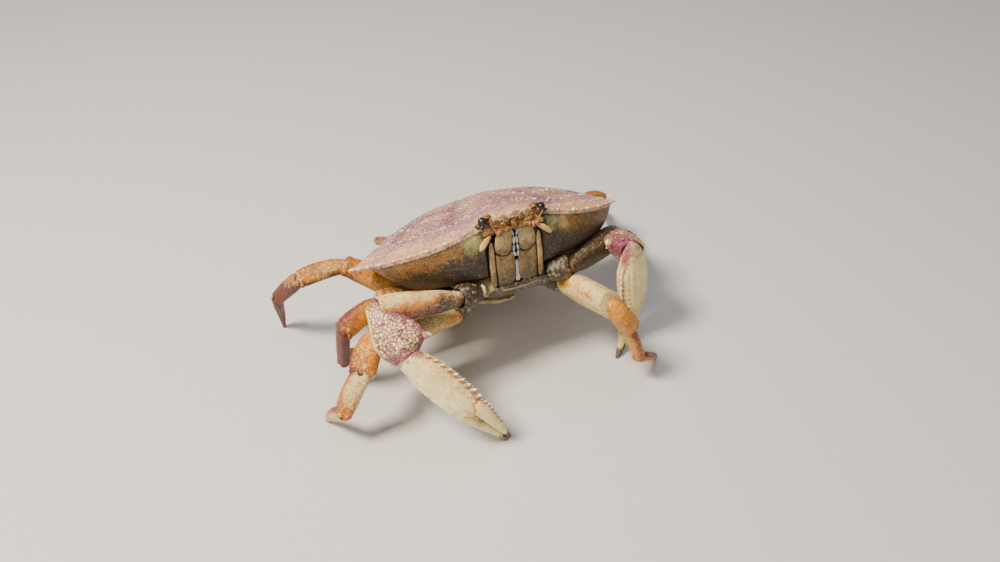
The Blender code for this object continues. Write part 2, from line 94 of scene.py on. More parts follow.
def add_ball(name, around, along):
    """A UV sphere, with the share from pole to pole and the turn of each point."""
    deselect_all()
    bpy.ops.mesh.primitive_uv_sphere_add(segments=around, ring_count=along, radius=1)
    ball = bpy.context.object
    ball.name = name
    ball.data.name = name
    points = read_points(ball)
    share = np.arccos(np.clip(-points[:, 2], -1, 1)) / pi
    turn = np.arctan2(points[:, 1], points[:, 0])
    return ball, share, turn


def read_points(piece):
    points = np.empty(len(piece.data.vertices) * 3, np.float32)
    piece.data.vertices.foreach_get("co", points)
    return points.reshape(-1, 3).astype(float)


def write_points(piece, points):
    piece.data.vertices.foreach_set("co", np.asarray(points, np.float32).ravel())
    piece.data.update()


def carry(piece, mark, values):
    """Stores a number from 0 to 1 at each point, for the piece's finish to read."""
    store = piece.data.attributes.get(mark) or piece.data.attributes.new(mark, "FLOAT", "POINT")
    levels = np.broadcast_to(np.clip(values, 0, 1), len(piece.data.vertices))
    store.data.foreach_set("value", levels.astype(np.float32))


def smooth_step(values, low, high):
    t = np.clip((values - low) / (high - low), 0, 1)
    return t * t * (3 - 2 * t)


def lengths_along(points):
    """The length walked up to each point of a broken line."""
    return np.concatenate([[0], np.cumsum(np.linalg.norm(np.diff(points, axis=0), axis=1))])


def places_along(points, at):
    """Places on a flat broken line, at given lengths from its start."""
    travelled = lengths_along(points)
    return np.stack([np.interp(at, travelled, points[:, i]) for i in range(2)], 1)


def eased(values, passes=3):
    """A row of numbers or places with its corners rounded off, its two ends kept."""
    values = np.array(values, float)
    for _ in range(passes):
        values[1:-1] = values[:-2] / 4 + values[1:-1] / 2 + values[2:] / 4
    return values


def hump(values, middle, reach):
    """1 in the middle, fading out to both sides."""
    return np.exp(-(((values - middle) / reach) ** 2))


def round_hump(turn, middle, reach):
    """The same, for angles."""
    away = (turn - middle + pi) % (2 * pi) - pi
    return np.exp(-((away / reach) ** 2))


def on_faces(turn, middles, reach):
    """Ridges on one face of a plate, and the same ones mirrored on its other face."""
    return sum(round_hump(turn, middle, reach) + round_hump(turn, pi - middle, reach) for middle in middles)


def quarter_rise(values):
    """From 0 to 1, round as a quarter of a sine wave."""
    return np.sin(pi / 2 * np.clip(values, 0, 1))


def quarter_fall(values):
    return np.cos(pi / 2 * np.clip(values, 0, 1))


def boxed(values, power):
    """A sine or cosine, drawn out so that the circle turns towards a box."""
    return np.abs(values) ** power * np.sign(values)


def soft_line(at, stations, column, width=0.12):
    """A value read along stations, with its corners eased."""
    samples = 201
    fine = np.linspace(0, 1, samples)
    shares = [station[0] for station in stations]
    line = np.interp(fine, shares, [station[column] for station in stations])
    window = np.hanning(int(samples * width) | 1)
    half = len(window) // 2
    before = 2 * line[0] - line[half:0:-1]
    after = 2 * line[-1] - line[-2:-half - 2:-1]
    padded = np.concatenate([before, line, after])
    return np.interp(at, fine, np.convolve(padded, window / window.sum(), "valid"))


def ripple(points, scale, seed):
    """Slow, smooth unevenness from -1 to 1, the same on each run."""
    rng = np.random.default_rng(seed)
    total = np.zeros(len(points))
    for octave in range(1, 4):
        waves = rng.normal(size=(6, 3)) * octave / scale
        phases = rng.uniform(0, 2 * pi, 6)
        total += np.sin(points @ waves.T + phases).sum(1) / (6 ** 0.5 * octave)
    return np.clip(total / 1.6, -1, 1)


def unit(vector):
    return vector / np.linalg.norm(vector)


def join_pieces(main, others):
    """Joins smaller pieces to the one that they grow from."""
    deselect_all()
    for piece in others:
        piece.select_set(True)
    main.select_set(True)
    bpy.context.view_layer.objects.active = main
    bpy.ops.object.join()
    return main


def join_all(pieces, name):
    whole = join_pieces(pieces[0], pieces[1:])
    whole.name = name
    return whole


def keep_above_floor(piece):
    """Lifts whatever would dip under the floor."""
    points = read_points(piece)
    points[:, 2] = np.maximum(points[:, 2], 0)
    write_points(piece, points)


def finish_piece(piece, finish, stands_for=()):
    """Smooths the piece, gives it its finish and ties it to the crab."""
    deselect_all()
    piece.select_set(True)
    bpy.context.view_layer.objects.active = piece
    bpy.ops.object.shade_smooth()
    piece.data.materials.clear()
    piece.data.materials.append(finish)
    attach(piece, "root")
    if stands_for:
        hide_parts(*stands_for)
    print(f"{piece.name}: {len(piece.data.polygons)} faces")
    return piece


# %% [markdown]
# ## Finishes
# A crab's shell is chitin hardened with chalk: a semi-gloss, slightly damp surface with
# pigment in layers under it. All the finishes are built the same way: a ground colour,
# then stains, each of which follows a mark that the piece carries (how near its upper
# edge, how near its tip) and is frayed by noise so that its border looks grown. Fine
# freckles and grains come last.

# %% Node helpers and colours
def hex_colour(text):
    """An sRGB hex value as the linear colour that shaders use."""
    parts = [int(text[i:i + 2], 16) / 255 for i in (1, 3, 5)]
    linear = [part / 12.92 if part <= 0.04045 else ((part + 0.055) / 1.055) ** 2.4 for part in parts]
    return (*linear, 1)


def add_node(tree, kind, settings=None, inputs=None):
    """Adds a node. An input is a value, or another node's socket to link from."""
    node = tree.nodes.new(kind)
    for name, value in (settings or {}).items():
        setattr(node, name, value)
    for name, value in (inputs or {}).items():
        socket = node.inputs[name]
        if isinstance(value, bpy.types.NodeSocket):
            tree.links.new(value, socket)
        else:
            socket.default_value = value
    return node


def add_noise(tree, place, scale, detail, roughness=0.5):
    return add_node(tree, "ShaderNodeTexNoise", inputs={
        "Vector": place, "Scale": scale, "Detail": detail, "Roughness": roughness})


def add_range(tree, value, low, high, to_low=0.0, to_high=1.0, **settings):
    """Stretches low to high of a value to the range to_low to to_high."""
    stretched = add_node(tree, "ShaderNodeMapRange", settings, {
        "Value": value, "From Min": low, "From Max": high, "To Min": to_low, "To Max": to_high})
    return stretched.outputs["Result"]


def add_math(tree, operation, *values):
    return add_node(tree, "ShaderNodeMath", {"operation": operation}, dict(enumerate(values))).outputs[0]


def add_mix(tree, amount, below, above):
    """Lays one colour over another by an amount."""
    return add_node(tree, "ShaderNodeMix", {"data_type": "RGBA"}, {
        "Factor": amount, "A": below, "B": above}).outputs["Result"]


def add_tint(tree, colour, shade):
    return add_node(tree, "ShaderNodeVectorMath", {"operation": "SCALE"}, {
        0: hex_colour(colour)[:3], "Scale": shade}).outputs["Vector"]


def add_mark(tree, mark):
    return add_node(tree, "ShaderNodeAttribute", {"attribute_name": mark}).outputs["Fac"]


# %% One finish for every hard plate
STAIN_EDGE = 1.35  # where mark and noise together are enough for a stain
CHITIN_IOR = 1.54


def stained_shell(name, ground, stains=(), freckles=None, grain=None, net=None, flecks=None,
                  gloss=0.42, coat=0.12):
    """A hard plate's finish. All spacings are in mm.

    Stains are (colour, mark, fray, softness), freckles are (colour, spacing, size share),
    grain is (spacing, height in mm), the net is (colour, mesh, mark), and flecks are
    (light, dark, spacing, strength, mark that hides them).
    """
    finish = bpy.data.materials.new(name)
    finish.use_nodes = True
    tree = finish.node_tree
    shader = tree.nodes["Principled BSDF"]
    place = add_node(tree, "ShaderNodeTexCoord").outputs["Object"]
    mottle = add_noise(tree, place, 130.0, 5.0, 0.62).outputs["Fac"]
    shade = add_range(tree, mottle, 0.3, 0.7, 0.78, 1.16)
    colour = add_tint(tree, ground, shade)
    for tint, mark, fray, softness in stains:
        noise = add_noise(tree, place, 1000 / fray, 6.0, 0.65).outputs["Fac"]
        uneven = add_range(tree, noise, 0.25, 0.75, clamp=False)
        frayed = add_math(tree, "MULTIPLY_ADD", add_mark(tree, mark), 1.7, uneven)
        amount = add_range(tree, frayed, STAIN_EDGE - softness, STAIN_EDGE + softness,
                           interpolation_type="SMOOTHSTEP")
        colour = add_mix(tree, amount, colour, add_tint(tree, tint, shade))
    if flecks:
        light, dark, spacing, strength, hider = flecks
        shown = add_range(tree, add_mark(tree, hider), 0.0, 1.0, strength, 0.2 * strength)
        speckle = add_noise(tree, place, 1000 / spacing, 3.0, 0.7).outputs["Fac"]
        for tint, near, far in ((light, 0.51, 0.66), (dark, 0.49, 0.34)):
            amount = add_math(tree, "MULTIPLY", add_range(tree, speckle, near, far), shown)
            colour = add_mix(tree, amount, colour, hex_colour(tint))
    if net:
        tint, mesh, mark = net
        warp = add_noise(tree, place, 700 / mesh, 3.0).outputs["Color"]
        bent = add_node(tree, "ShaderNodeVectorMath", {"operation": "MULTIPLY_ADD"},
                        {0: warp, 1: (0.0011,) * 3, 2: place}).outputs["Vector"]
        cells = add_node(tree, "ShaderNodeTexVoronoi", {"feature": "DISTANCE_TO_EDGE"},
                         {"Vector": bent, "Scale": 1000 / mesh}).outputs["Distance"]
        line = add_range(tree, cells, 0.03, 0.24, 1.0, 0.04, interpolation_type="SMOOTHSTEP")
        amount = add_math(tree, "MULTIPLY", line, add_mark(tree, mark))
        colour = add_mix(tree, amount, colour, hex_colour(tint))
    if freckles:
        tint, spacing, size = freckles
        dots = add_node(tree, "ShaderNodeTexVoronoi", inputs={"Vector": place, "Scale": 1000 / spacing})
        chosen = add_node(tree, "ShaderNodeSeparateColor", inputs={"Color": dots.outputs["Color"]})
        radius = add_math(tree, "MULTIPLY", chosen.outputs["Red"], size)
        inside = add_math(tree, "SUBTRACT", radius, dots.outputs["Distance"])
        amount = add_range(tree, inside, 0.0, 0.09, 0.0, 0.8)
        colour = add_mix(tree, amount, colour, hex_colour(tint))
    tree.links.new(colour, shader.inputs["Base Color"])
    roughness = add_range(tree, mottle, 0.3, 0.7, gloss - 0.08, gloss + 0.14)
    tree.links.new(roughness, shader.inputs["Roughness"])
    pits = add_noise(tree, place, 900.0, 3.0).outputs["Fac"]
    bump = add_node(tree, "ShaderNodeBump", inputs={"Strength": 0.5, "Distance": 0.00025, "Height": pits})
    if grain:
        spacing, height = grain
        beads = add_node(tree, "ShaderNodeTexVoronoi", {"feature": "SMOOTH_F1"},
                         {"Vector": place, "Scale": 1000 / spacing, "Smoothness": 0.35}).outputs["Distance"]
        domes = add_range(tree, beads, 0.05, 0.5, 1.0, 0.0, interpolation_type="SMOOTHSTEP")
        bump = add_node(tree, "ShaderNodeBump", inputs={
            "Strength": 0.8, "Distance": height / 1000, "Height": domes, "Normal": bump.outputs["Normal"]})
    tree.links.new(bump.outputs["Normal"], shader.inputs["Normal"])
    shader.inputs["IOR"].default_value = CHITIN_IOR
    shader.inputs["Coat Weight"].default_value = coat
    shader.inputs["Coat Roughness"].default_value = 0.25
    return finish


# %% [markdown]
# The back is dusty lavender over cream, grained like fine leather. Below the rim the
# same shell turns olive, gold and rust, all darkened almost to black as painted shade
# for the underfold, which lies in its own shadow. Claws are the palest plates, cream with
# a purple net on the wrist, and the walking legs are orange with wine-red upper edges.
# Each of these is hardened chitin, so only pigment, painted shade and grain differ.

# %% The crab's finishes
# Under the rim, olive, gold and rust are darkened almost to black: painted shade for the underfold, as well
# as its colour.
carapace_chitin = stained_shell(
    "carapace_chitin", "#aa7f8c",
    [("#d2a478", "cream", 4.0, 0.55), ("#7d4c66", "plum", 1.4, 0.50), ("#1d1406", "olive", 3.0, 0.2),
     ("#75500e", "gold", 1.1, 0.50), ("#1b0b04", "rust_and_shade", 2.5, 0.50), ("#989057", "pale", 4.0, 0.60),
     ("#f0dcb4", "tip", 1.0, 0.35)],
    freckles=("#6f4658", 1.2, 0.24), grain=(1.0, 0.34),
    flecks=("#e2bf94", "#6c4252", 1.3, 0.75, "olive"), gloss=0.46, coat=0.06)
granule_chitin = stained_shell("granule_chitin", "#f3e2c4", gloss=0.4)
leg_chitin = stained_shell(
    "leg_chitin", "#d48808",
    [("#f5dc96", "pale", 2.2, 0.40), ("#7f2f48", "wine", 1.6, 0.45), ("#2f160a", "brown", 1.5, 0.40)],
    net=("#6e2a1a", 1.5, "net"), freckles=("#54210f", 2.0, 0.32), grain=(0.9, 0.24),
    flecks=("#f0b548", "#8f4714", 1.4, 0.55, "brown"), gloss=0.50, coat=0.04)
# Its brown also serves as the painted shade on the left claw's upper arm.
claw_chitin = stained_shell(
    "claw_chitin", "#fae39a",
    [("#d8812f", "orange", 2.2, 0.50), ("#8c4455", "wine", 1.5, 0.40), ("#2c150a", "brown", 1.4, 0.40),
     ("#fcefc8", "pale", 2.0, 0.4)],
    net=("#733349", 1.7, "net"), freckles=("#a0622e", 2.4, 0.26), grain=(1.0, 0.18),
    flecks=("#fdf0c4", "#d9ab66", 1.8, 0.40, "wine"), gloss=0.46, coat=0.06)
# Its brown also serves as the painted shade on the hips.
belly_chitin = stained_shell(
    "belly_chitin", "#b5a076",
    [("#4a2a18", "seam", 1.5, 0.35), ("#21140b", "brown", 3.0, 0.35), ("#e9e4d0", "pale", 0.8, 0.3)],
    freckles=("#7c5a32", 3.0, 0.25), flecks=("#d8c69a", "#74552f", 2.0, 0.4, "pale"), gloss=0.46, coat=0.06)
mouth_chitin = stained_shell(
    "mouth_chitin", "#7b6138",
    [("#b79b66", "pale", 3.0, 0.55), ("#473d1d", "olive", 2.5, 0.5), ("#1c0f06", "seam", 0.4, 0.30)],
    freckles=("#4c3514", 2.0, 0.30), grain=(1.2, 0.12),
    flecks=("#b39560", "#5c431f", 1.6, 0.45, "seam"), gloss=0.46, coat=0.06)
palp_chitin = stained_shell("palp_chitin", "#a9b3b4", [("#1c1a1a", "seam", 0.5, 0.3)], gloss=0.34, coat=0.2)
face_chitin = stained_shell(
    "face_chitin", "#75460f", [("#cfa864", "pale", 0.9, 0.40), ("#1e0c04", "brown", 0.8, 0.4)],
    grain=(0.7, 0.45), flecks=("#c68c3c", "#34180a", 1.0, 0.65, "pale"), gloss=0.46, coat=0.08)
hinge_membrane = stained_shell("hinge_membrane", "#6c3a22", [("#34140c", "brown", 1.5, 0.3)], gloss=0.5)
eye_cornea = stained_shell("eye_cornea", "#060403", [("#4a2412", "stalk", 0.7, 0.3)], gloss=0.30, coat=0.10)
feeler_chitin = stained_shell("feeler_chitin", "#a5703f", [("#4a2a14", "brown", 1.0, 0.3)], gloss=0.45)
print("finishes:", len(bpy.data.materials))

# %% [markdown]
# ## The shell
# The carapace is one plate: a low dome, a rim with ten forward-leaning teeth on each
# side, and an underfold that curves in to the mouth and the hips. It could be modelled
# as two halves, but real shells have no seam at the rim, so one fine sphere is shaped
# into all of it. First come the curves that the solids follow: the rim, seen from above.

# %% The rim's outline
SHELL_BACK = 0.27
SHELL_DOME = 0.147
DOME_POWER = 1.8
SHELL_TOP_Y = -0.04
ARC_DEPTH = 0.355
ARC_HALF = 0.492
TOOTH_COUNT = 10
TOOTH_REACH = 0.015
HORN_X = 0.163
BASE_Z = -0.128
MOUTH_TOP = (-0.347, 0.010)
MOUTH_FOOT = (-0.254, -0.168)
MOUTH_RUN = (MOUTH_FOOT[0] - MOUTH_TOP[0], MOUTH_FOOT[1] - MOUTH_TOP[1])
MOUTH_HALF = 0.095
COVER_ROOM = 0.037


def rim_height(x, y):
    front = 0.062 * np.exp(-((x / 0.19) ** 2))
    back = -0.02 * np.clip(1 - (x / 0.5) ** 2, 0, None)
    return np.where(y < 0, front, back)


def even_arc(first, last, count):
    """Points on the smooth front arc, by its own angle."""
    angle = np.linspace(first, last, count)
    return np.stack([ARC_HALF * np.sin(angle), -ARC_DEPTH * np.cos(angle)], 1)


FIRST_TOOTH = np.arcsin(HORN_X / 0.5)
front_points = [(0, -0.370), (0.045, -0.366), (0.085, -0.357), (0.11, -0.346), (0.14, -0.341)]
hind_points = [(0.484, 0.012), (0.458, 0.034), (0.43, 0.058), (0.372, 0.125), (0.315, 0.175),
               (0.25, 0.218), (0.19, 0.245), (0.155, 0.260), (0.10, 0.268), (0.05, SHELL_BACK),
               (0, SHELL_BACK)]
left_rim = np.concatenate([front_points, even_arc(FIRST_TOOTH, pi / 2, 40), hind_points])
print("rim points on one side:", len(left_rim))

# %% [markdown]
# The teeth are added outward from that even line: each one rises slowly from behind
# and drops steeply in front of the next notch, so that it leans forward. The last one
# at the side is the longest. Between the eyes sit five small blunt teeth.

# %% Teeth along the rim
def walk_rim(count):
    """Even steps along the left rim, its corners rounded off."""
    at = np.linspace(0, lengths_along(left_rim)[-1], count)
    return eased(places_along(left_rim, at), 6)


def tooth_reach(x, y):
    """How far the rim stands out, as a share of the width, at a place on the left."""
    angle = np.arctan2(x / 0.5, -y / ARC_DEPTH)
    step = (pi / 2 - FIRST_TOOTH) / (TOOTH_COUNT - 1)
    phase = (angle - FIRST_TOOTH) / step
    within = phase - np.floor(phase)
    number = np.clip(np.floor(phase + 0.5), 0, TOOTH_COUNT - 1)
    lean = np.where(within < 0.30, 1 - within / 0.30, (within - 0.30) / 0.70) ** 1.25
    size = TOOTH_REACH * (0.80 + 0.45 * number / TOOTH_COUNT)
    along_arc = smooth_step(phase, -0.9, -0.1) * smooth_step(angle, pi / 2 + 0.03, pi / 2 - 0.02)
    sides = 0.7 * lean * size * along_arc
    last = 0.006 * hump(angle, pi / 2, 0.040)
    between_eyes = 0.009 * (0.5 + 0.5 * np.cos(2 * pi * x / 0.043))
    flank = np.where(angle < pi / 2 + 0.03, sides, 0) + last
    return np.where(x < 0.097, np.where(y < 0, between_eyes, 0), flank)


# %% [markdown]
# On the dome the regions over stomach, heart and gills swell a little, with shallow
# grooves between them. These are soft bumps of about a millimetre. They are given by
# middle, reach and height, the same on both sides.

# %% Swellings and grooves of the back
SWELLINGS = [  # x, y, reach in x, reach in y, height
    (0.0, -0.215, 0.060, 0.060, 0.0060), (0.085, -0.235, 0.055, 0.060, 0.0075),
    (0.0, -0.105, 0.075, 0.060, 0.0065), (0.235, -0.155, 0.075, 0.055, 0.0065),
    (0.215, -0.015, 0.105, 0.085, 0.0085), (0.345, -0.045, 0.075, 0.070, 0.0055),
    (0.0, 0.065, 0.065, 0.060, 0.0070), (0.175, 0.120, 0.095, 0.065, 0.0060),
    (0.0, 0.175, 0.055, 0.035, 0.0045), (0.330, 0.060, 0.060, 0.045, 0.0045)]
GROOVES = [  # x and y along a shallow furrow
    [(0.050, -0.025), (0.085, -0.085), (0.128, -0.140), (0.160, -0.205), (0.168, -0.275)],
    [(0.050, -0.025), (0.085, 0.020), (0.083, 0.085), (0.066, 0.150), (0.075, 0.215)],
    [(0.128, -0.140), (0.190, -0.095), (0.270, -0.090), (0.350, -0.120)],
    [(0.0, -0.030), (0.050, -0.025)], [(0.0, -0.165), (0.040, -0.215), (0.043, -0.300)]]


def far_from_path(x, y, path):
    """Least distance of each place from a broken line."""
    least = np.full(len(x), 9.0)
    for (ax, ay), (bx, by) in zip(path, path[1:]):
        run = (bx - ax) ** 2 + (by - ay) ** 2
        t = np.clip(((x - ax) * (bx - ax) + (y - ay) * (by - ay)) / run, 0, 1)
        least = np.minimum(least, np.hypot(x - ax - t * (bx - ax), y - ay - t * (by - ay)))
    return least


def relief(x, y):
    side = np.abs(x)
    height = np.zeros(len(x))
    for cx, cy, rx, ry, tall in SWELLINGS:
        height += tall * hump(side, cx, rx) * hump(y, cy, ry)
    for path in GROOVES:
        height -= 0.0042 * hump(far_from_path(side, y, path), 0, 0.014)
    return height


# %% The shell's skin
AROUND_SHELL = 704
RINGS_SHELL = 118
RINGS_UNDER = 42
UNDERFOLD_END = 0.86  # share of the rings under the rim that curve inward, the rest is floor
BASE_HALF = 0.275
BASE_FRONT = 0.265
BASE_BACK = 0.228
shell, share, turn = add_ball("carapace_skin", AROUND_SHELL, RINGS_SHELL)
ring = np.rint((1 - share) * RINGS_SHELL)
column = np.rint(turn / (2 * pi) * AROUND_SHELL).astype(int) % AROUND_SHELL
left_walk = walk_rim(AROUND_SHELL // 2 + 1)
right_walk = left_walk[-2:0:-1] * (-1, 1)
even_rim = np.concatenate([left_walk, right_walk])
rim_x, rim_y = even_rim[column].T
rim_z = rim_height(rim_x, rim_y)
rings_top = RINGS_SHELL - RINGS_UNDER
climb = np.clip(ring / rings_top, 0, 1)
on_top = 0.6 * climb + 0.4 * np.sin(climb * pi / 2)
below = np.clip((ring - rings_top) / RINGS_UNDER, 0, 1) ** 1.3
outward = np.stack([rim_x / 0.25, rim_y / ARC_DEPTH ** 2], 1)
outward /= np.linalg.norm(outward, axis=1, keepdims=True)
near_rim = smooth_step(on_top, 0.962, 1) * (1 - smooth_step(below, 0, 0.055))
nib = tooth_reach(np.abs(rim_x), rim_y) * near_rim
x = rim_x * on_top
y = SHELL_TOP_Y + (rim_y - SHELL_TOP_Y) * on_top
z = rim_z * on_top ** 2 + SHELL_DOME * (1 - on_top ** DOME_POWER)
z += relief(x, y) * (1 - smooth_step(on_top, 0.9, 1))
z += 0.0022 * hump(on_top, 0.982, 0.010) * (below == 0)
z += 0.0011 * np.cos(column * 2 * pi / 7) * hump(on_top, 0.985, 0.010) * (below == 0)
bulge = smooth_step(-rim_y, 0.04, 0.20)
bearing = np.arctan2(rim_x / BASE_HALF, -rim_y / BASE_FRONT)
base_reach = np.where(np.abs(bearing) < pi / 2, BASE_FRONT, BASE_BACK)
base_x = BASE_HALF * boxed(np.sin(bearing), 0.75)
base_y = -base_reach * boxed(np.cos(bearing), 0.75)
bend = np.clip(below / UNDERFOLD_END, 0, 1)
slow = 1 - quarter_fall(bend)
fast = quarter_rise(bend)
floor_in = np.clip((below - UNDERFOLD_END) / (1 - UNDERFOLD_END), 0, 1)
inward = 0.15 * bend + 0.85 * (slow * bulge + fast * (1 - bulge))
down = 0.15 * bend + 0.85 * (fast * bulge + slow * (1 - bulge))
x += (base_x - x) * inward * (below > 0)
y += (base_y - y) * inward * (below > 0)
z += (BASE_Z - z) * down * (below > 0)
x *= 1 - floor_in
y *= 1 - floor_in
mouth_line = MOUTH_TOP[0] + (z - MOUTH_TOP[1]) / MOUTH_RUN[1] * MOUTH_RUN[0]
for_mouth = (below > 0.05) & (y < -0.1)
behind_doors = smooth_step(np.abs(x), MOUTH_HALF + 0.006, MOUTH_HALF - 0.004)
recess = mouth_line + 0.004 + (COVER_ROOM - 0.004) * behind_doors
beside = smooth_step(np.abs(x), MOUTH_HALF + 0.075, MOUTH_HALF + 0.004)
beside *= smooth_step(z, MOUTH_TOP[1] + 0.030, MOUTH_TOP[1] + 0.004)
y = np.where(for_mouth, y + np.maximum(recess - y, 0) * beside, y)
x += outward[:, 0] * nib
y += outward[:, 1] * nib
print("shell rings above and below the rim:", rings_top, RINGS_UNDER)

# %% [markdown]
# The eye sockets are round hollows in the front margin. A Boolean would leave a raw
# edge, so the points inside each hollow are slid backwards to its far wall instead.

# %% Eye sockets, and marks for the pigment and the painted shade
EYE_SPOT = (0.103, -0.357, 0.054)
SOCKET_SHIFT = (-0.002, 0.0, -0.006)
SOCKET_HALF = (0.0325, 0.026, 0.0235)
# Points inside an eye socket are marked for painted shade, so the socket looks dark as if in shadow.
socket_shade = np.zeros(len(x))
for sign in (1, -1):
    middle_x, middle_y, middle_z = np.add(EYE_SPOT, SOCKET_SHIFT) * (sign, 1, 1)
    half_x, half_y, half_z = SOCKET_HALF
    room = 1 - ((x - middle_x) / half_x) ** 2 - ((z - middle_z) / half_z) ** 2
    wall = middle_y + half_y * np.sqrt(np.clip(room, 0, None))
    in_socket = (room > 0) & (y < wall) & (y < -0.30)
    socket_shade = np.where(in_socket, 1.0, socket_shade)
    y = np.where(in_socket, wall, y)

shell_points = np.stack([x, y, z], 1)
write_points(shell, body_to_world(shell_points))
under = smooth_step(below, 0.03, 0.10)
side = np.abs(x)
wave = ripple(shell_points, 0.09, 3)
fine_wave = ripple(shell_points, 0.03, 8)
edge_band = smooth_step(on_top, 0.80, 0.97) * (1 - under)
hollow_lines = sum(hump(far_from_path(side, y, path), 0, 0.020) for path in GROOVES[:3])
# The hollow under the front, between the eyes, is marked for painted shade.
front_hollow_shade = under * smooth_step(side, 0.10, 0.07) * smooth_step(-y, 0.25, 0.30)
cheek = hump(side, 0.20, 0.07) * hump(y, -0.17, 0.06)
cream = 0.30 + 0.28 * wave + 0.55 * edge_band + 0.25 * cheek
plum = 0.30 + 0.28 * hollow_lines + 0.16 * fine_wave + 0.22 * hump(on_top, 0.66, 0.12)
# Rust hue and painted shade, deepening towards the bottom of the underfold.
rust_and_shade = 0.16 + 0.75 * smooth_step(-z, 0.02, 0.10) + 0.30 * fine_wave
pale = 0.85 * hump(side, 0.145, 0.055) * hump(z, 0.0, 0.060) + 0.22 * wave + 0.12 * fine_wave
tooth_tip = smooth_step(nib, 0.005, 0.012) * (0.5 + 0.5 * smooth_step(side, 0.10, 0.16))
rim_edge = 0.35 * hump(on_top, 0.985, 0.012) * (below == 0)
gold = (1 - smooth_step(below, 0.22, 0.50)) * (0.75 + 0.35 * fine_wave) * smooth_step(side, 0.12, 0.2)
carry(shell, "cream", cream * (1 - under))
carry(shell, "plum", plum * (1 - under) * (1 - 0.7 * edge_band))
# Olive, gold and rust below the rim carry painted shade as well as colour. The eye sockets and the front
# hollow are painted shade alone.
carry(shell, "olive", under * 1.4)
carry(shell, "rust_and_shade", under * rust_and_shade + socket_shade + front_hollow_shade)
carry(shell, "pale", under * pale)
carry(shell, "tip", tooth_tip + rim_edge)
carry(shell, "gold", under * gold)
finish_piece(shell, carapace_chitin, ["carapace"])

# %% [markdown]
# ## Granules on the back
# Pale granules stand on the back like grains of rice, in rows along the arc of teeth and
# over the gill and stomach regions, and as beads on the rim between and upon the teeth.
# They are real grains, so one small one is modelled and copied to each place, with its
# own mesh, and joined to a piece that lies on the shell.

# %% One granule, copied along its rows
deselect_all()
bpy.ops.mesh.primitive_ico_sphere_add(subdivisions=2, radius=1)
granule = bpy.context.object
granule.name = "granule_pattern"
granule_points = read_points(granule)
top_ids = np.flatnonzero((below == 0) & (on_top < 0.97))  # places on the back
top_tree = KDTree(len(top_ids))
for count, index in enumerate(top_ids):
    top_tree.insert((shell_points[index, 0], shell_points[index, 1], 0), count)
top_tree.balance()
GRANULE_ROWS = [  # places along a row, spacing and size in shares of the width
    ([(0.165, -0.300), (0.260, -0.258), (0.345, -0.205), (0.415, -0.128), (0.455, -0.050)], 0.0135, 0.0034),
    ([(0.120, -0.262), (0.205, -0.232), (0.290, -0.185), (0.350, -0.130), (0.385, -0.060),
      (0.385, 0.020)], 0.018, 0.0042),
    ([(0.160, -0.160), (0.220, -0.150), (0.280, -0.115), (0.315, -0.060), (0.310, 0.010)], 0.021, 0.0048),
    ([(0.040, -0.270), (0.090, -0.275), (0.130, -0.250)], 0.017, 0.0038),
    ([(0.030, -0.165), (0.075, -0.175), (0.120, -0.185)], 0.020, 0.0046),
    ([(0.015, -0.100), (0.050, -0.085), (0.075, -0.055)], 0.020, 0.0042),
    ([(0.110, -0.030), (0.165, -0.040), (0.215, -0.020), (0.235, 0.030), (0.215, 0.080)], 0.024, 0.0044),
    ([(0.020, 0.040), (0.050, 0.075), (0.040, 0.120)], 0.022, 0.0040),
    ([(0.120, 0.110), (0.180, 0.140), (0.250, 0.130)], 0.024, 0.0040)]


BEADS_PER_TOOTH = 3


def along_row(row, spacing):
    row = np.array(row, float)
    return places_along(row, np.arange(0, lengths_along(row)[-1], spacing))


def place_copy(pattern, points, axes, place, name):
    """A copy of the pattern with its own mesh. axes holds its three axes as columns."""
    copy = pattern.copy()
    copy.data = pattern.data.copy()
    copy.name = name
    bpy.context.scene.collection.objects.link(copy)
    write_points(copy, points @ axes.T + place)
    return copy


def seat_granule(place, sizes):
    return place_copy(granule, granule_points, BODY_ARRAY[:3, :3] * sizes, place, "granule")


def grow_granules():
    scatter = np.random.default_rng(11)
    grains = []
    for row, spacing, size in GRANULE_ROWS:
        for sign in (1, -1):
            for spot in along_row(row, spacing):
                spot_x, spot_y = spot + scatter.normal(size=2) * spacing * 0.22
                _, found, _ = top_tree.find((sign * spot_x, spot_y, 0))
                radius = size * WIDTH * scatter.uniform(0.55, 1.25)
                seat = body_to_world(shell_points[top_ids[found]])
                grains.append(seat_granule(seat, (radius * 1.15, radius, radius * 0.62)))
    step = (pi / 2 - FIRST_TOOTH) / (TOOTH_COUNT - 1)
    for part_steps in range(BEADS_PER_TOOTH * TOOTH_COUNT - 5):
        on_tip = part_steps % BEADS_PER_TOOTH == 0
        angle = FIRST_TOOTH + part_steps * step / BEADS_PER_TOOTH
        bead_x, bead_y = even_arc(angle, angle, 1)[0]
        out = 1 + (0.010 if on_tip else -0.002)
        radius = WIDTH * (0.0060 if on_tip else 0.0034) * scatter.uniform(0.7, 1.15)
        for sign in (1, -1):
            lift = float(rim_height(bead_x, bead_y))
            seat = body_to_world((sign * bead_x * out, bead_y * out, lift))
            grains.append(seat_granule(seat, (radius * 1.2, radius, radius * 0.9)))
    return grains


grains = grow_granules()
granules = join_all(grains, "carapace_granules")
bpy.data.objects.remove(granule)
finish_piece(granules, granule_chitin)
print("granules:", len(grains))

# %% [markdown]
# ## Plates of the face
# A crab's mouth is closed by a pair of jointed plates, like doors. Each plate is a flat
# shield with a softly crowned front. One helper makes any such shield: the sphere's
# equator is laid on the outline, its upper half becomes the crown and its lower half
# the back, so the rim is rounded and closed.

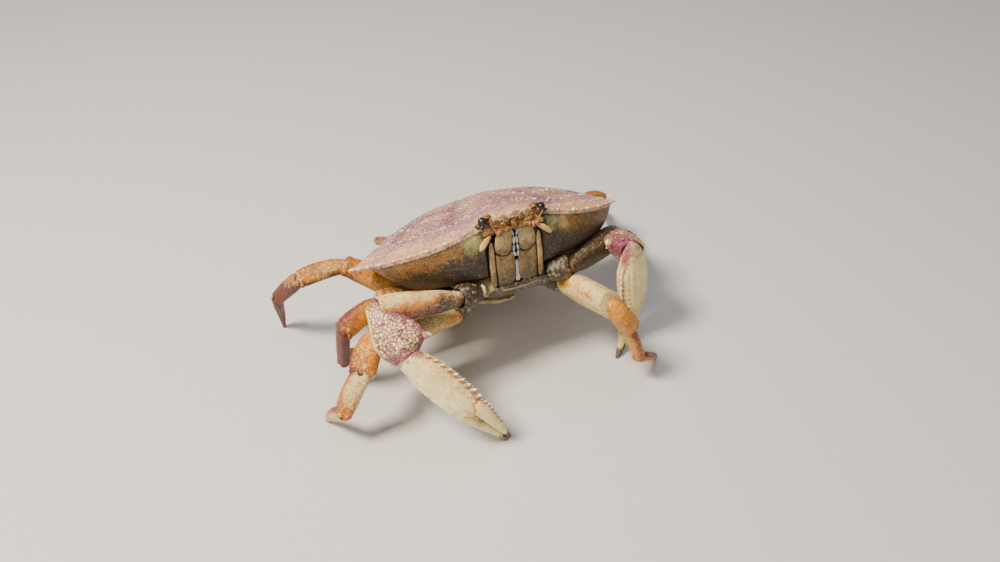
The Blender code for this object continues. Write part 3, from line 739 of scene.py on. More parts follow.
# %% A crowned shield from an outline
def walk_outline(outline, count):
    """Even steps round a closed outline, its corners a little rounded."""
    corners = np.array(list(outline) + [outline[0]], float)
    at = np.linspace(0, lengths_along(corners)[-1], count, endpoint=False)
    spots = places_along(corners, at)
    return (np.roll(spots, 1, 0) + 2 * spots + np.roll(spots, -1, 0)) / 4


def add_shield(name, outline, crown, depth, to_place, around=64, along=28, dent=None):
    """A closed plate. to_place turns (across, down, height) into the body's frame."""
    plate, share, turn = add_ball(name, around, along)
    column = np.rint(turn / (2 * pi) * around).astype(int) % around
    edge = walk_outline(outline, around)[column]
    middle = edge.mean(0)
    out = np.sin(pi * share) ** 0.45
    flat = middle + (edge - middle) * out[:, None]
    crowned = crown * (1 - out ** 4) + crown * 0.25 * (1 - out ** 2)
    height = np.where(share > 0.5, crowned, -depth * (1 - out ** 8))
    if dent:
        height = height - dent(flat[:, 0], flat[:, 1]) * (share > 0.5)
    points = to_place(flat[:, 0], flat[:, 1], height)
    write_points(plate, body_to_world(points))
    face_outwards(plate)
    carry(plate, "seam", smooth_step(out, 0.93, 1.0))
    return plate


def face_outwards(piece):
    deselect_all()
    piece.select_set(True)
    bpy.context.view_layer.objects.active = piece
    bpy.ops.object.mode_set(mode="EDIT")
    bpy.ops.mesh.select_all(action="SELECT")
    bpy.ops.mesh.normals_make_consistent(inside=False)
    bpy.ops.object.mode_set(mode="OBJECT")


MOUTH_SLOPE = unit(np.array([0, *MOUTH_RUN]))
MOUTH_OUT = np.array([0, MOUTH_SLOPE[2], -MOUTH_SLOPE[1]])


def on_mouth(sign):
    def place(across, down, height):
        base_y = MOUTH_TOP[0] + down * MOUTH_RUN[0]
        base_z = MOUTH_TOP[1] + down * MOUTH_RUN[1]
        flat = np.stack([sign * across, base_y, base_z], 1)
        return flat + MOUTH_OUT * np.asarray(height)[:, None]
    return place


# %% The mouth's doors
MOUTH_PLATES = {
    "merus": ([(0.0085, 0.08), (0.015, -0.05), (0.034, -0.09), (0.052, -0.04), (0.067, 0.09), (0.073, 0.24),
               (0.071, 0.37), (0.052, 0.455), (0.030, 0.47), (0.012, 0.38)], 0.006, 0.012),
    "ischium": ([(0.011, 0.40), (0.029, 0.480), (0.052, 0.465), (0.0715, 0.385), (0.0725, 0.60),
                 (0.071, 0.86),
                 (0.069, 1.03), (0.045, 1.07), (0.020, 1.03), (0.005, 0.90), (0.0035, 0.62)], 0.005, 0.012),
    "exopod": ([(0.0745, 0.30), (0.078, 0.17), (0.084, 0.13), (0.091, 0.22), (0.095, 0.58), (0.093, 0.93),
                (0.084, 1.04), (0.0735, 1.00), (0.0745, 0.64)], 0.004, 0.012)}
DOOR_PALE = {"merus": 0.75, "ischium": 0.25, "exopod": 0.55}
DOOR_OLIVE = {"merus": 0.35, "ischium": 0.75, "exopod": 0.30}
PALP_JOINTS = [(0.013, -0.01), (0.004, 0.14), (0.006, 0.30), (0.008, 0.42), (0.003, 0.52)]
INNER_PLATE = [(0.000, 0.56), (0.003, 0.58), (0.005, 0.80), (0.010, 0.98), (0.000, 1.02)]


def make_mouth_doors(side, sign):
    plates = []
    for part, (outline, crown, depth) in MOUTH_PLATES.items():
        furrow = (lambda across, down: 0.0018 * hump(across, 0.050, 0.006)) if part == "ischium" else None
        plate = add_shield(f"{part}_{side}", outline, crown, depth, on_mouth(sign), dent=furrow)
        height = read_points(plate)[:, 2]
        low = (height.max() - height) / (height.max() - height.min())
        carry(plate, "pale", DOOR_PALE[part] * (1 - 0.6 * smooth_step(low, 0.45, 0.9)))
        carry(plate, "olive", DOOR_OLIVE[part] * (0.5 + 0.7 * smooth_step(low, 0.3, 0.9)))
        plates.append(plate)
    doors = join_all(plates, f"mouth_doors_{side}")
    finish_piece(doors, mouth_chitin, [f"maxilliped_{side}"])
    beads = []
    turns = np.linspace(0, 2 * pi, 12, endpoint=False)
    for (x0, down0), (x1, down1) in zip(PALP_JOINTS, PALP_JOINTS[1:]):
        middle_x, middle_down = (x0 + x1) / 2, (down0 + down1) / 2
        half = abs(down1 - down0) * 0.56
        across = middle_x + 0.0048 * np.cos(turns) + (x1 - x0) / 2 * np.sin(turns)
        outline = list(zip(across, middle_down + half * np.sin(turns)))
        beads.append(add_shield(f"palp_{side}", outline, 0.0065, 0.006, on_mouth(sign), 24, 14))
    beads.append(add_shield(f"inner_plate_{side}", INNER_PLATE, 0.000, 0.006, on_mouth(sign), 24, 14))
    finish_piece(join_all(beads, f"mouth_palp_{side}"), palp_chitin)


for side, sign in SIDES:
    make_mouth_doors(side, sign)

# %% [markdown]
# Above the doors lies a knobbly band: the roof of the mouth, the folded antennules in
# their pits and the stout roots of the antennae. They are small swollen lumps, so each
# starts as a sphere that is stretched, turned and made uneven.

# %% The knobbly band between the eyes
FACE_LUMPS = [  # middle, half sizes, lean in degrees and paleness, on the left side
    ((0.042, -0.351, 0.034), (0.040, 0.014, 0.026), 6, 0.10),
    ((0.078, -0.346, 0.028), (0.022, 0.013, 0.022), 25, 0.20),
    ((0.044, -0.356, 0.012), (0.038, 0.010, 0.009), 4, 0.30),
    ((0.027, -0.362, 0.042), (0.014, 0.009, 0.014), 30, 0.25),
    ((0.057, -0.358, 0.046), (0.015, 0.009, 0.011), -20, 0.30),
    ((0.052, -0.361, 0.026), (0.017, 0.008, 0.009), 12, 0.10),
    ((0.101, -0.338, -0.012), (0.030, 0.009, 0.010), -40, 0.95),
    ((0.000, -0.356, 0.030), (0.012, 0.010, 0.024), 0, 0.0),
    ((0.092, -0.338, 0.014), (0.016, 0.012, 0.010), -15, 0.45),
    ((0.080, -0.350, 0.063), (0.014, 0.010, 0.007), 12, 0.30)]


def add_lump(name, middle, sizes, lean, paleness, sign, seed, uneven=0.24):
    lump, _, _ = add_ball(name, 36, 24)
    points = read_points(lump)
    points *= 1 + uneven * (ripple(points, 0.9, seed) + 0.5 * ripple(points, 0.35, seed + 9))[:, None]
    points *= sizes
    c, s = cos(radians(lean)), sin(radians(lean))
    leaning_x = points[:, 0] * c - points[:, 2] * s
    leaning_z = points[:, 0] * s + points[:, 2] * c
    placed = (np.stack([leaning_x, points[:, 1], leaning_z], 1) + middle) * (sign, 1, 1)
    write_points(lump, body_to_world(placed))
    behind = placed[:, 1] - middle[1]
    carry(lump, "pale", paleness + 0.30 * ripple(placed, 0.010, seed + 1))
    # Brown is partly the lump's own colour and partly painted shade, deepening towards the back of the lump
    # where it tucks in.
    carry(lump, "brown", 0.58 - 0.6 * paleness + 0.30 * ripple(placed, 0.012, seed + 2) + 22 * behind)
    if sign < 0:
        face_outwards(lump)
    return lump


face_lumps = []
for number, (middle, sizes, lean, paleness) in enumerate(FACE_LUMPS):
    for sign in (1, -1):
        face_lumps.append(add_lump(f"face_lump_{number}", middle, sizes, lean, paleness, sign, 20 + number))
face_band = join_all(face_lumps, "face_band")
finish_piece(face_band, face_chitin)

# %% [markdown]
# ## Tubes and long plates
# Limbs, feelers, eye stalks, the breast plate and the tail flap are all long plates:
# a row of egg-shaped sections along a middle line. One helper lays the sphere's rings
# on such a row. Its ends close in a rounded way, so each plate looks tucked into the
# next one.

# %% A long plate from sections
def add_long_plate(name, middles, ups, outer, inner, thick,
                   around=48, boxy=0.85, swell=None, closing=None):
    """Sections along a middle line. ups is one upward direction or one for each section,
    and swell(share, turn) is added to the size, as a share."""
    along = len(middles) - 1
    plate, share, turn = add_ball(name, around, along)
    row = np.rint(share * along).astype(int)
    axis = np.gradient(middles, axis=0)
    axis /= np.linalg.norm(axis, axis=1, keepdims=True)
    ups = ups - axis * (ups * axis).sum(1, keepdims=True)
    ups /= np.linalg.norm(ups, axis=1, keepdims=True)
    sides = np.cross(axis, ups)
    c, s = np.cos(turn), np.sin(turn)
    across = thick[row] * boxed(c, boxy)
    tall = np.where(s > 0, outer[row], inner[row]) * boxed(s, boxy)
    size = (closing[row] if closing is not None else np.ones(len(row)))
    share_along = row / along
    if swell:
        size = size * (1 + swell(share_along, turn))
    size[(row == 0) | (row == along)] = 0
    points = middles[row] + (sides[row] * across[:, None] + ups[row] * tall[:, None]) * size[:, None]
    write_points(plate, points)
    face_outwards(plate)
    return plate, share_along, turn


def rounded_ends(rings, cap):
    """Shares along the straight part, and how far each section is closed."""
    at = np.linspace(0, 1, rings + 1)
    share = np.clip((at - cap) / (1 - 2 * cap), 0, 1)
    closing = np.minimum(quarter_rise(at / cap), quarter_rise((1 - at) / cap))
    return share, closing


# %% [markdown]
# The eye is a short, stout stalk with a dark, glassy cap. The real cap is made of
# thousands of facets too fine to see, so it reads as wet black with one soft highlight.

# %% Eyes and antennae
EYE_RADIUS = 0.0165
EYE_STATIONS = [(0, 0.48), (0.2, 0.60), (0.38, 0.68), (0.47, 0.62), (0.56, 0.84), (0.72, 0.90),
                (0.88, 0.64), (1, 0.12)]
ANTENNA_PATH = [(0.050, -0.362, 0.010), (0.056, -0.371, 0.007), (0.064, -0.376, 0.006),
                (0.070, -0.380, 0.010), (0.074, -0.384, 0.018), (0.082, -0.391, 0.030),
                (0.091, -0.400, 0.041)]
ANTENNA_SIZES = [(0, 0.0075), (0.16, 0.0105), (0.33, 0.0108), (0.45, 0.0068), (0.55, 0.0036),
                 (0.8, 0.0024), (1, 0.0017)]
ANTENNA_JOINTS = (0.17, 0.34)


def make_eye(side, sign):
    tip = (EYE_SPOT + np.array([0.010, -0.006, 0.010])) * (sign, 1, 1)
    root = (EYE_SPOT + np.array([-0.022, 0.004, -0.020])) * (sign, 1, 1)
    share, closing = rounded_ends(36, 0.05)
    middles = body_to_world(root + (tip - root) * share[:, None])
    size = soft_line(share, EYE_STATIONS, 1, 0.06) * EYE_RADIUS * WIDTH
    up = np.array(body_direction((0, -0.3, 1)))
    eye, at, _ = add_long_plate(f"eye_stalk_{side}", middles, up, size, size * 0.96, size, 36, 1.0,
                                closing=closing)
    carry(eye, "stalk", 1 - smooth_step(at, 0.42, 0.50))
    finish_piece(eye, eye_cornea, [f"eye_{side}"])


def antenna_rings(at, _):
    """Fine rings along the lash, and a waist at each of the two stout joints."""
    waists = sum(hump(at, middle, 0.02) for middle in ANTENNA_JOINTS)
    return 0.10 * np.cos(at * 150) * smooth_step(at, 0.5, 0.6) - 0.22 * waists


def make_antenna(side, sign):
    share, closing = rounded_ends(60, 0.03)
    stations = [(number / 6, *point) for number, point in enumerate(ANTENNA_PATH)]
    line = np.stack([soft_line(share, stations, column, 0.1) for column in (1, 2, 3)], 1)
    size = soft_line(share, ANTENNA_SIZES, 1, 0.05) * WIDTH
    up = np.array(body_direction((0.3, 0.2, 1)))
    middles = body_to_world(line * (sign, 1, 1))
    feeler, at, _ = add_long_plate(f"antenna_lash_{side}", middles, up, size, size, size, 20, 1.0,
                                   antenna_rings, closing)
    carry(feeler, "brown", sum(hump(at, middle, 0.03) for middle in ANTENNA_JOINTS) + 0.3)
    finish_piece(feeler, feeler_chitin, [f"antenna_{side}"])


for side, sign in SIDES:
    make_eye(side, sign)
    make_antenna(side, sign)

# %% [markdown]
# ## Joints of the limbs
# Each limb is a chain of plates. The solids already hold the pose, so the joints are
# measured on them: where one plate's end ring faces the next plate's first ring.

# %% Measure the joints on the solids
MEETING_REACH = 0.0012
MEETING_SPREAD = 0.0006
ON_FLOOR = 0.0002


def solid_points(node):
    return read_points(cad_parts[node])


def solid_corners(node):
    """Each corner of a solid once, to a hundredth of a millimetre."""
    return np.unique(np.round(solid_points(node), 5), axis=0)


def meeting(node, neighbour):
    """The middle of the rim where a solid faces its neighbour."""
    tree_points = solid_points(neighbour)
    tree = KDTree(len(tree_points))
    for count, point in enumerate(tree_points):
        tree.insert(point, count)
    tree.balance()
    own = solid_corners(node)
    near = np.array([tree.find(point)[2] for point in own])
    return own[near < max(MEETING_REACH, near.min() + MEETING_SPREAD)].mean(0)


def floor_tip(node):
    own = solid_corners(node)
    return own[own[:, 2] < ON_FLOOR].mean(0)


def limb_joints(pair, side, parts):
    nodes = [f"{pair}_{part}_{side}" for part in parts]
    joints = [(meeting(a, b) + meeting(b, a)) / 2 for a, b in zip(nodes, nodes[1:])]
    hip = solid_corners(nodes[0]).mean(0)
    return [2 * hip - joints[0]] + joints


LEG_PARTS = ("hip", "merus", "carpus", "propodus", "dactyl")
leg_joints = {}
for side, _ in SIDES:
    for pair in ("leg1", "leg2", "leg3", "leg4"):
        leg_joints[pair, side] = limb_joints(pair, side, LEG_PARTS) + [floor_tip(f"{pair}_dactyl_{side}")]
    leg_joints["claw", side] = limb_joints("claw", side, ("hip", "merus", "carpus", "palm"))
for name, joints in leg_joints.items():
    print(name, [tuple(round(1000 * value) for value in joint) for joint in joints], "mm")

# %% [markdown]
# ## Spines and hinge knobs
# Claws carry rows of small forward-leaning spines, and every joint turns on two round
# knobs. Both are modelled once and copied, each copy with its own mesh.

# %% Patterns for the small parts
deselect_all()
bpy.ops.mesh.primitive_cone_add(vertices=12, radius1=0.5, radius2=0.09, depth=1, location=(0, 0, 0.5))
spine = bpy.context.object
spine.name = "spine_pattern"
bpy.ops.object.mode_set(mode="EDIT")
bpy.ops.mesh.select_all(action="DESELECT")
bpy.ops.mesh.select_mode(type="EDGE")
bpy.ops.object.mode_set(mode="OBJECT")
for edge in spine.data.edges:
    heights = [spine.data.vertices[index].co.z for index in edge.vertices]
    edge.select = abs(heights[0] - heights[1]) > 0.1
bpy.ops.object.mode_set(mode="EDIT")
bpy.ops.mesh.subdivide(number_cuts=4)
bpy.ops.object.mode_set(mode="OBJECT")
bpy.ops.object.transform_apply(location=True, rotation=True, scale=True)
spine_points = read_points(spine)
tall = spine_points[:, 2]
spine_points[:, :2] *= (1 + 0.45 * np.sin(pi * np.clip(tall, 0, 1)))[:, None]
spine_points[:, 0] += 0.42 * tall ** 1.6
carry(spine, "pale", smooth_step(tall, 0.45, 0.9))
carry(spine, "wine", 0.5)
carry(spine, "orange", 0.5)
write_points(spine, spine_points)
print("faces in one spine:", len(spine.data.polygons))

deselect_all()
bpy.ops.mesh.primitive_torus_add(major_segments=24, minor_segments=10, major_radius=0.72, minor_radius=0.30)
knob_ring = bpy.context.object
bpy.ops.mesh.primitive_uv_sphere_add(segments=20, ring_count=12, radius=0.52, location=(0, 0, 0.06))
knob_ball = bpy.context.object
bpy.ops.object.transform_apply(location=True, rotation=True, scale=True)
knob = join_pieces(knob_ring, [knob_ball])
knob.name = "knob_pattern"
knob_points = read_points(knob)
from_middle = np.hypot(knob_points[:, 0], knob_points[:, 1])
carry(knob, "brown", hump(from_middle, 0.47, 0.09) * (knob_points[:, 2] > -0.1))
carry(knob, "pale", 0.6)
print("faces in one knob:", len(knob.data.polygons))


def plant_spine(base, up, lean, height, width):
    """A spine that stands on base, points up and leans forward along lean."""
    up = unit(up)
    lean = unit(lean - up * np.dot(lean, up))
    axes = np.stack([lean * width, np.cross(up, lean) * width, up * height], 1)
    return place_copy(spine, spine_points, axes, base, "spine")


def plant_knob(base, out, radius):
    out = unit(out)
    first = unit(np.cross(out, (0.3, 0.1, 1.0)))
    axes = np.stack([first, np.cross(out, first), out], 1) * radius
    return place_copy(knob, knob_points, axes, base, "knob")


def hinge_knobs(joint, across, reach, radius):
    """Two knobs, one on each face beside a joint. Reach and radius are shares of the width."""
    return [plant_knob(joint + across * flip * reach * WIDTH, across * flip, radius * WIDTH)
            for flip in (1, -1)]


# %% [markdown]
# ## Plates of the walking legs
# From the hip down a leg has a long flat merus, a short ridged carpus (the knee), a
# broad propodus and a fluted, pointed dactyl with a horny tip. The upper edge is the
# outer side of the knee's bend. Half sizes are in shares of the shell's width: outer
# edge, inner edge, thickness.

# %% Sections and ridges of a walking leg
LEG_SECTIONS = {
    "merus": ((0, 0.028, 0.029, 0.024), (0.16, 0.039, 0.036, 0.030), (0.45, 0.056, 0.048, 0.034),
              (0.75, 0.057, 0.046, 0.033), (0.93, 0.051, 0.044, 0.033), (1, 0.043, 0.040, 0.031)),
    "carpus": ((0, 0.032, 0.034, 0.024), (0.2, 0.043, 0.034, 0.029), (0.6, 0.047, 0.038, 0.031),
               (0.88, 0.045, 0.039, 0.030), (1, 0.038, 0.036, 0.028)),
    "propodus": ((0, 0.030, 0.031, 0.021), (0.2, 0.041, 0.038, 0.025), (0.6, 0.041, 0.039, 0.024),
                 (0.9, 0.036, 0.036, 0.022), (1, 0.031, 0.032, 0.021)),
    "dactyl": ((0, 0.026, 0.028, 0.017), (0.15, 0.033, 0.033, 0.020), (0.45, 0.028, 0.027, 0.017),
               (0.75, 0.018, 0.017, 0.012), (0.92, 0.010, 0.010, 0.008), (1, 0.0055, 0.0055, 0.0055))}
LEG_SIZE = {"leg1": (1.26, 1.10, 0.88, 0.92), "leg2": (1.02, 0.92, 0.86, 0.88),
            "leg3": (0.80, 0.82, 0.84, 0.90), "leg4": (0.72, 0.74, 0.76, 0.80)}
LEG_BOW = {"merus": 0.006, "carpus": 0.004, "propodus": 0.003, "dactyl": 0.010}
TUCK = 0.0012  # how far a plate's far end reaches past its joint
BULB = 0.85  # its near end is a round bulb, this deep against its half height
END_CAP = 0.08  # share of a plate's rings that closes each end


def leg_ridges(part):
    """Keels and furrows along a plate, as shares of its section."""
    def swell(at, turn):
        lip = 0.07 * hump(at, 0.90, 0.025) - 0.05 * hump(at, 0.845, 0.03)
        if part == "merus":
            beside_keel = on_faces(turn, (pi / 2 - 0.75,), 0.2)
            return lip + 0.05 * round_hump(turn, pi / 2, 0.35) - 0.035 * beside_keel
        if part == "carpus":
            return lip + 0.07 * on_faces(turn, (0.7,), 0.2) - 0.06 * round_hump(turn, pi / 2, 0.25)
        if part == "propodus":
            furrows = on_faces(turn, (0.45, -0.45), 0.16) * smooth_step(at, 0.1, 0.25)
            return lip + 0.05 * round_hump(turn, pi / 2, 0.3) - 0.07 * furrows
        flutes = 0.5 - 0.5 * np.cos(turn * 6)
        return -0.11 * flutes * smooth_step(at, 0.10, 0.25) * smooth_step(at, 0.95, 0.80)
    return swell


def leg_plate(name, start, end, up, size, part, rings=64):
    axis = unit(end - start)
    sections = LEG_SECTIONS[part]
    share, closing = rounded_ends(rings, END_CAP)
    at = np.linspace(0, 1, rings + 1)
    bulb = BULB * sections[0][1] * size * WIDTH
    reach = np.linalg.norm(end - start) * share - bulb * quarter_fall(at / END_CAP)
    if part != "dactyl":
        reach = reach + TUCK * quarter_fall((1 - at) / END_CAP)
    square = unit(up - axis * np.dot(up, axis))
    bow = LEG_BOW[part] * WIDTH * 4 * share * (1 - share)
    middles = start + axis * reach[:, None] + square * bow[:, None]
    outer, inner, thick = (soft_line(share, sections, column) * size * WIDTH for column in (1, 2, 3))
    return add_long_plate(name, middles, square, outer, inner, thick,
                          swell=leg_ridges(part), closing=closing)


# %% [markdown]
# The pigment marks come from where a point lies on its plate. Wine red runs along the
# upper edge and deepens towards the knee, cream fills the lower side, and the dactyl
# ends in dark brown horn.

# %% Build the eight walking legs
LEG_TONES = {  # how strong wine, pale and brown are on merus, carpus, propodus, dactyl
    ("leg1", "right"): ((0.8, 0.7, 0.35), (1.30, 0.50, 0.3), (1.9, 0.80, 0.1), (0.8, 1.0, 0.1)),
    ("leg1", "left"): ((0.15, 2.6, 0.10), (0.0, 0.0, 0.0), (0.5, 0.9, 0.15), (0.7, 0.4, 0.2)),
    ("leg2", "right"): ((0.6, 0.75, 0.35), (0.95, 0.55, 0.5), (1.1, 0.35, 1.1), (0.7, 0.3, 1.1)),
    ("leg3", "right"): ((0.9, 0.5, 0.5), (0.8, 0.6, 0.75), (0.8, 0.45, 1.05), (0.5, 0.1, 1.7))}
PLAIN_TONES = ((0.65, 0.5, 0.25), (0.65, 0.45, 0.25), (0.7, 0.5, 0.4), (0.5, 0.3, 0.6))
MEMBRANE_SQUEEZE = 0.8


def leg_marks(plate, part, at, turn, tones, seed):
    wine, pale, brown = tones
    points = read_points(plate)
    wave, patches = ripple(points, 0.006, seed), ripple(points, 0.016, seed + 5)
    upper = round_hump(turn, pi / 2, 0.75)
    lower = round_hump(turn, -pi / 2, 0.9)
    flats = np.abs(np.cos(turn)) ** 3
    far = smooth_step(at, 0.35, 0.95)
    tip = smooth_step(at, 0.80, 0.92) if part == "dactyl" else 0
    reddened = 1.1 * upper + 0.5 * far * flats + 0.45 * patches + 0.25 * wave - 0.1
    bleached = 0.5 * lower + 0.75 * flats * (1 - 0.5 * far) - 0.5 * patches + 0.3 * wave
    darkened = 0.55 + 0.7 * lower + 0.5 * wave + 0.3 * far
    carry(plate, "wine", wine * reddened)
    carry(plate, "pale", pale * bleached + 0.25 * hump(at, 0.93, 0.02))
    carry(plate, "brown", brown * darkened - 0.15 + 1.5 * tip)
    carry(plate, "net", 0.15 + 0.6 * wine * (0.6 * upper + 0.6 * far) + 0.5 * brown + 0.3 * wave)


def joint_ball(middle, before, after, radius):
    """The dark skin that shows where two plates part."""
    axis = unit(unit(middle - before) + unit(after - middle))
    ball, _, _ = add_ball("membrane", 24, 16)
    across = unit(np.cross(axis, (0.2, 0.1, 1.0)))
    points = read_points(ball)
    folds = 1 + 0.05 * np.cos(points[:, 2:3] * 16)
    spread = points[:, :1] * across + points[:, 1:2] * np.cross(axis, across)
    write_points(ball, middle + (spread * folds + points[:, 2:3] * axis * MEMBRANE_SQUEEZE) * radius)
    face_outwards(ball)
    carry(ball, "brown", 0.5 + 0.5 * ripple(points, 0.6, 4))
    return ball


def build_leg(pair, side, seed):
    joints = leg_joints[pair, side]
    bend = unit(joints[2] - joints[1]) - unit(joints[3] - joints[2])
    tones = LEG_TONES.get((pair, side), PLAIN_TONES)
    balls = []
    for k, part in enumerate(LEG_PARTS[1:], start=1):
        start, end = joints[k], joints[k + 1]
        size = LEG_SIZE[pair][k - 1]
        plate, at, turn = leg_plate(f"{pair}_{part}_{side}_plate", start, end, bend, size, part)
        leg_marks(plate, part, at, turn, tones[k - 1], seed + k)
        if part != "dactyl":
            axis = unit(end - start)
            across = unit(np.cross(axis, bend))
            join_pieces(plate, hinge_knobs(end - axis * 0.0012, across, 0.028 * size, 0.0078 * size))
        keep_above_floor(plate)
        finish_piece(plate, leg_chitin, [f"{pair}_{part}_{side}"])
    for k, size in enumerate(LEG_SIZE[pair], start=1):
        radius = 0.024 * size * WIDTH * (0.85 if k == 4 else 1)
        balls.append(joint_ball(joints[k], joints[k - 1], joints[k + 1], radius))
    finish_piece(join_all(balls, f"{pair}_membranes_{side}"), hinge_membrane)


for number, (pair, side) in enumerate([(pair, side) for pair in LEG_SIZE for side, _ in SIDES]):
    build_leg(pair, side, 100 + 10 * number)

# %% [markdown]
# ## Claws
# The claw arm has a smooth merus, a wedge-shaped carpus (the wrist) with one strong
# inner spine, and a palm that runs on into its fixed finger as one plate. The other
# finger is hinged at the palm's upper front corner. The palm is ribbed lengthwise, and
# its crest and the moving finger carry rows of forward-leaning spines.

# %% Sizes and directions of the claws
CLAW_SECTIONS = {
    "merus": ((0, 0.024, 0.027, 0.024), (0.25, 0.037, 0.036, 0.034), (0.6, 0.047, 0.043, 0.041),
              (0.9, 0.050, 0.046, 0.042), (1, 0.038, 0.038, 0.034)),
    "carpus": ((0, 0.034, 0.034, 0.030), (0.25, 0.056, 0.052, 0.042), (0.55, 0.077, 0.068, 0.047),
               (0.80, 0.088, 0.064, 0.045), (0.9, 0.070, 0.056, 0.042), (1, 0.042, 0.044, 0.036))}
PALM = ((0, 0.033, 0.033, 0.029), (0.1, 0.053, 0.043, 0.034), (0.3, 0.066, 0.050, 0.038),
        (0.6, 0.067, 0.054, 0.039), (0.9, 0.061, 0.053, 0.036), (1, 0.053, 0.051, 0.033))
FIXED_FINGER = ((0, -0.031, 0.022, 0.030), (0.3, -0.026, 0.018, 0.023), (0.6, -0.018, 0.014, 0.018),
                (0.85, -0.007, 0.010, 0.012), (1, 0, 0.006, 0.007))
MOVING_FINGER = ((0, 0.026, 0.021, 0.022), (0.12, 0.030, 0.027, 0.025), (0.3, 0.031, 0.027, 0.024),
                 (0.55, 0.026, 0.021, 0.019), (0.8, 0.018, 0.013, 0.013), (1, 0.013, 0.005, 0.006))
ARM_RINGS = 72
PALM_LENGTH = 0.245
FINGER_SET_OFF = 0.3
PALM_HEADING = {"right": (54, -41), "left": (117, -79)}  # degrees from the front, and pitch
SPINE_ROWS = ((pi / 2, 0.027), (pi / 2 + 0.5, 0.012), (pi / 2 - 0.5, 0.012))  # turn and height
SPINES_IN_ROW = 9
# which way the upper edges of merus, carpus and palm look
CREST = {"right": ((-10, 75), (91, 27), (60, 47)), "left": ((0, 80), (-80, 30), (-60, -5))}


def heading(degrees_from_front, pitch):
    h, p = radians(degrees_from_front), radians(pitch)
    return np.array([sin(h) * cos(p), -cos(h) * cos(p), sin(p)])


def finger_line(hinge, tip, axis, share):
    """The curve of a finger: straight on from the palm, then round to the tip."""
    bend = hinge + axis * FINGER_SET_OFF * np.linalg.norm(tip - hinge)
    share = np.asarray(share)[:, None]
    return hinge * (1 - share) ** 2 + bend * 2 * share * (1 - share) + tip * share ** 2


def point_on(middle, axis, up, turn, outer, thick, boxy=0.85):
    """A place on a section's skin, and the way out there."""
    up = unit(up - axis * np.dot(up, axis))
    side = np.cross(axis, up)
    c, s = cos(turn), sin(turn)
    out = side * thick * boxed(c, boxy) + up * outer * boxed(s, boxy)
    return middle + out * WIDTH, unit(side * c + up * s)


def outer_and_thick(sections, share):
    """Half height and half thickness at one share of a plate's length."""
    shares = [row[0] for row in sections]
    return [np.interp(share, shares, [row[column] for row in sections]) for column in (1, 3)]


def facing(direction, axis, up):
    """The turn round a section at which its skin looks along a direction."""
    square = unit(up - axis * np.dot(up, axis))
    return np.arctan2(np.dot(direction, square), np.dot(direction, np.cross(axis, square)))


# %% Arm plates of a claw
def arm_ridges(part):
    def swell(at, turn):
        lip = 0.05 * hump(at, 0.90, 0.025) - 0.05 * hump(at, 0.85, 0.03)
        if part == "merus":
            edges = round_hump(turn, pi / 2, 0.22) + on_faces(turn, (-pi / 4,), 0.22)
            return lip + 0.10 * edges * smooth_step(at, 0.08, 0.3) - 0.04 * on_faces(turn, (0.7,), 0.3)
        ribs = on_faces(turn, (0.15, -0.75), 0.14) * smooth_step(at, 0.2, 0.45)
        keel = round_hump(turn, pi / 2, 0.22) * smooth_step(at, 0.15, 0.6) * smooth_step(at, 0.97, 0.80)
        return lip + 0.06 * ribs + 0.12 * keel - 0.09 * on_faces(turn, (0.85,), 0.35)
    return swell


def merus_marks(plate, at, turn, wave, front, deep):
    """The upper arm: wine and brown below, a pale keel in front. deep paints shade on the arm of one side:
    it darkens the whole plate, most on its front face.
    """
    upper, lower = round_hump(turn, pi / 2, 0.9), round_hump(turn, -pi / 2, 0.95)
    keel = round_hump(turn, -pi / 4 if abs(front) < pi / 2 else -3 * pi / 4, 0.15)
    facing_front = round_hump(turn, front, 0.8)
    root = smooth_step(at, 0.5, 0.1)
    brown = 1.0 * lower + 0.95 * smooth_step(at, 0.50, 0.12) + 0.45 * wave - 0.8 * keel
    pale = (0.35 - 0.35 * deep) * upper + (0.9 - 0.5 * deep) * keel * smooth_step(at, 0.2, 0.4)
    # deep lays painted shade: more wine and brown, and less pale.
    carry(plate, "wine", 1.3 * lower + (0.35 + 1.0 * deep) * facing_front + 0.35 * deep + 0.2 * wave)
    carry(plate, "orange", 0.8 * round_hump(turn, front, 0.7) + 0.45 * upper + 0.35 * root + 0.3 * wave)
    carry(plate, "brown", brown + deep * (0.9 * facing_front + 0.95))
    carry(plate, "pale", pale)


def carpus_marks(plate, at, turn, wave):
    """The wrist: wine at both ends, a purple net above and a pale underside."""
    upper, lower = round_hump(turn, pi / 2, 0.9), round_hump(turn, -pi / 2, 0.95)
    ends = smooth_step(at, 0.30, 0.10) + smooth_step(at, 0.70, 0.95)
    carry(plate, "wine", 0.20 + 0.50 * upper + 0.35 * ends + 0.45 * wave - 0.45 * lower)
    carry(plate, "net", 0.25 + 0.95 * smooth_step(1 - lower + 0.2 * wave, 0.15, 0.6))
    carry(plate, "orange", 0.25 * lower + 0.2 * wave)
    carry(plate, "pale", 0.55 * lower + 0.3 * hump(at, 0.94, 0.02))


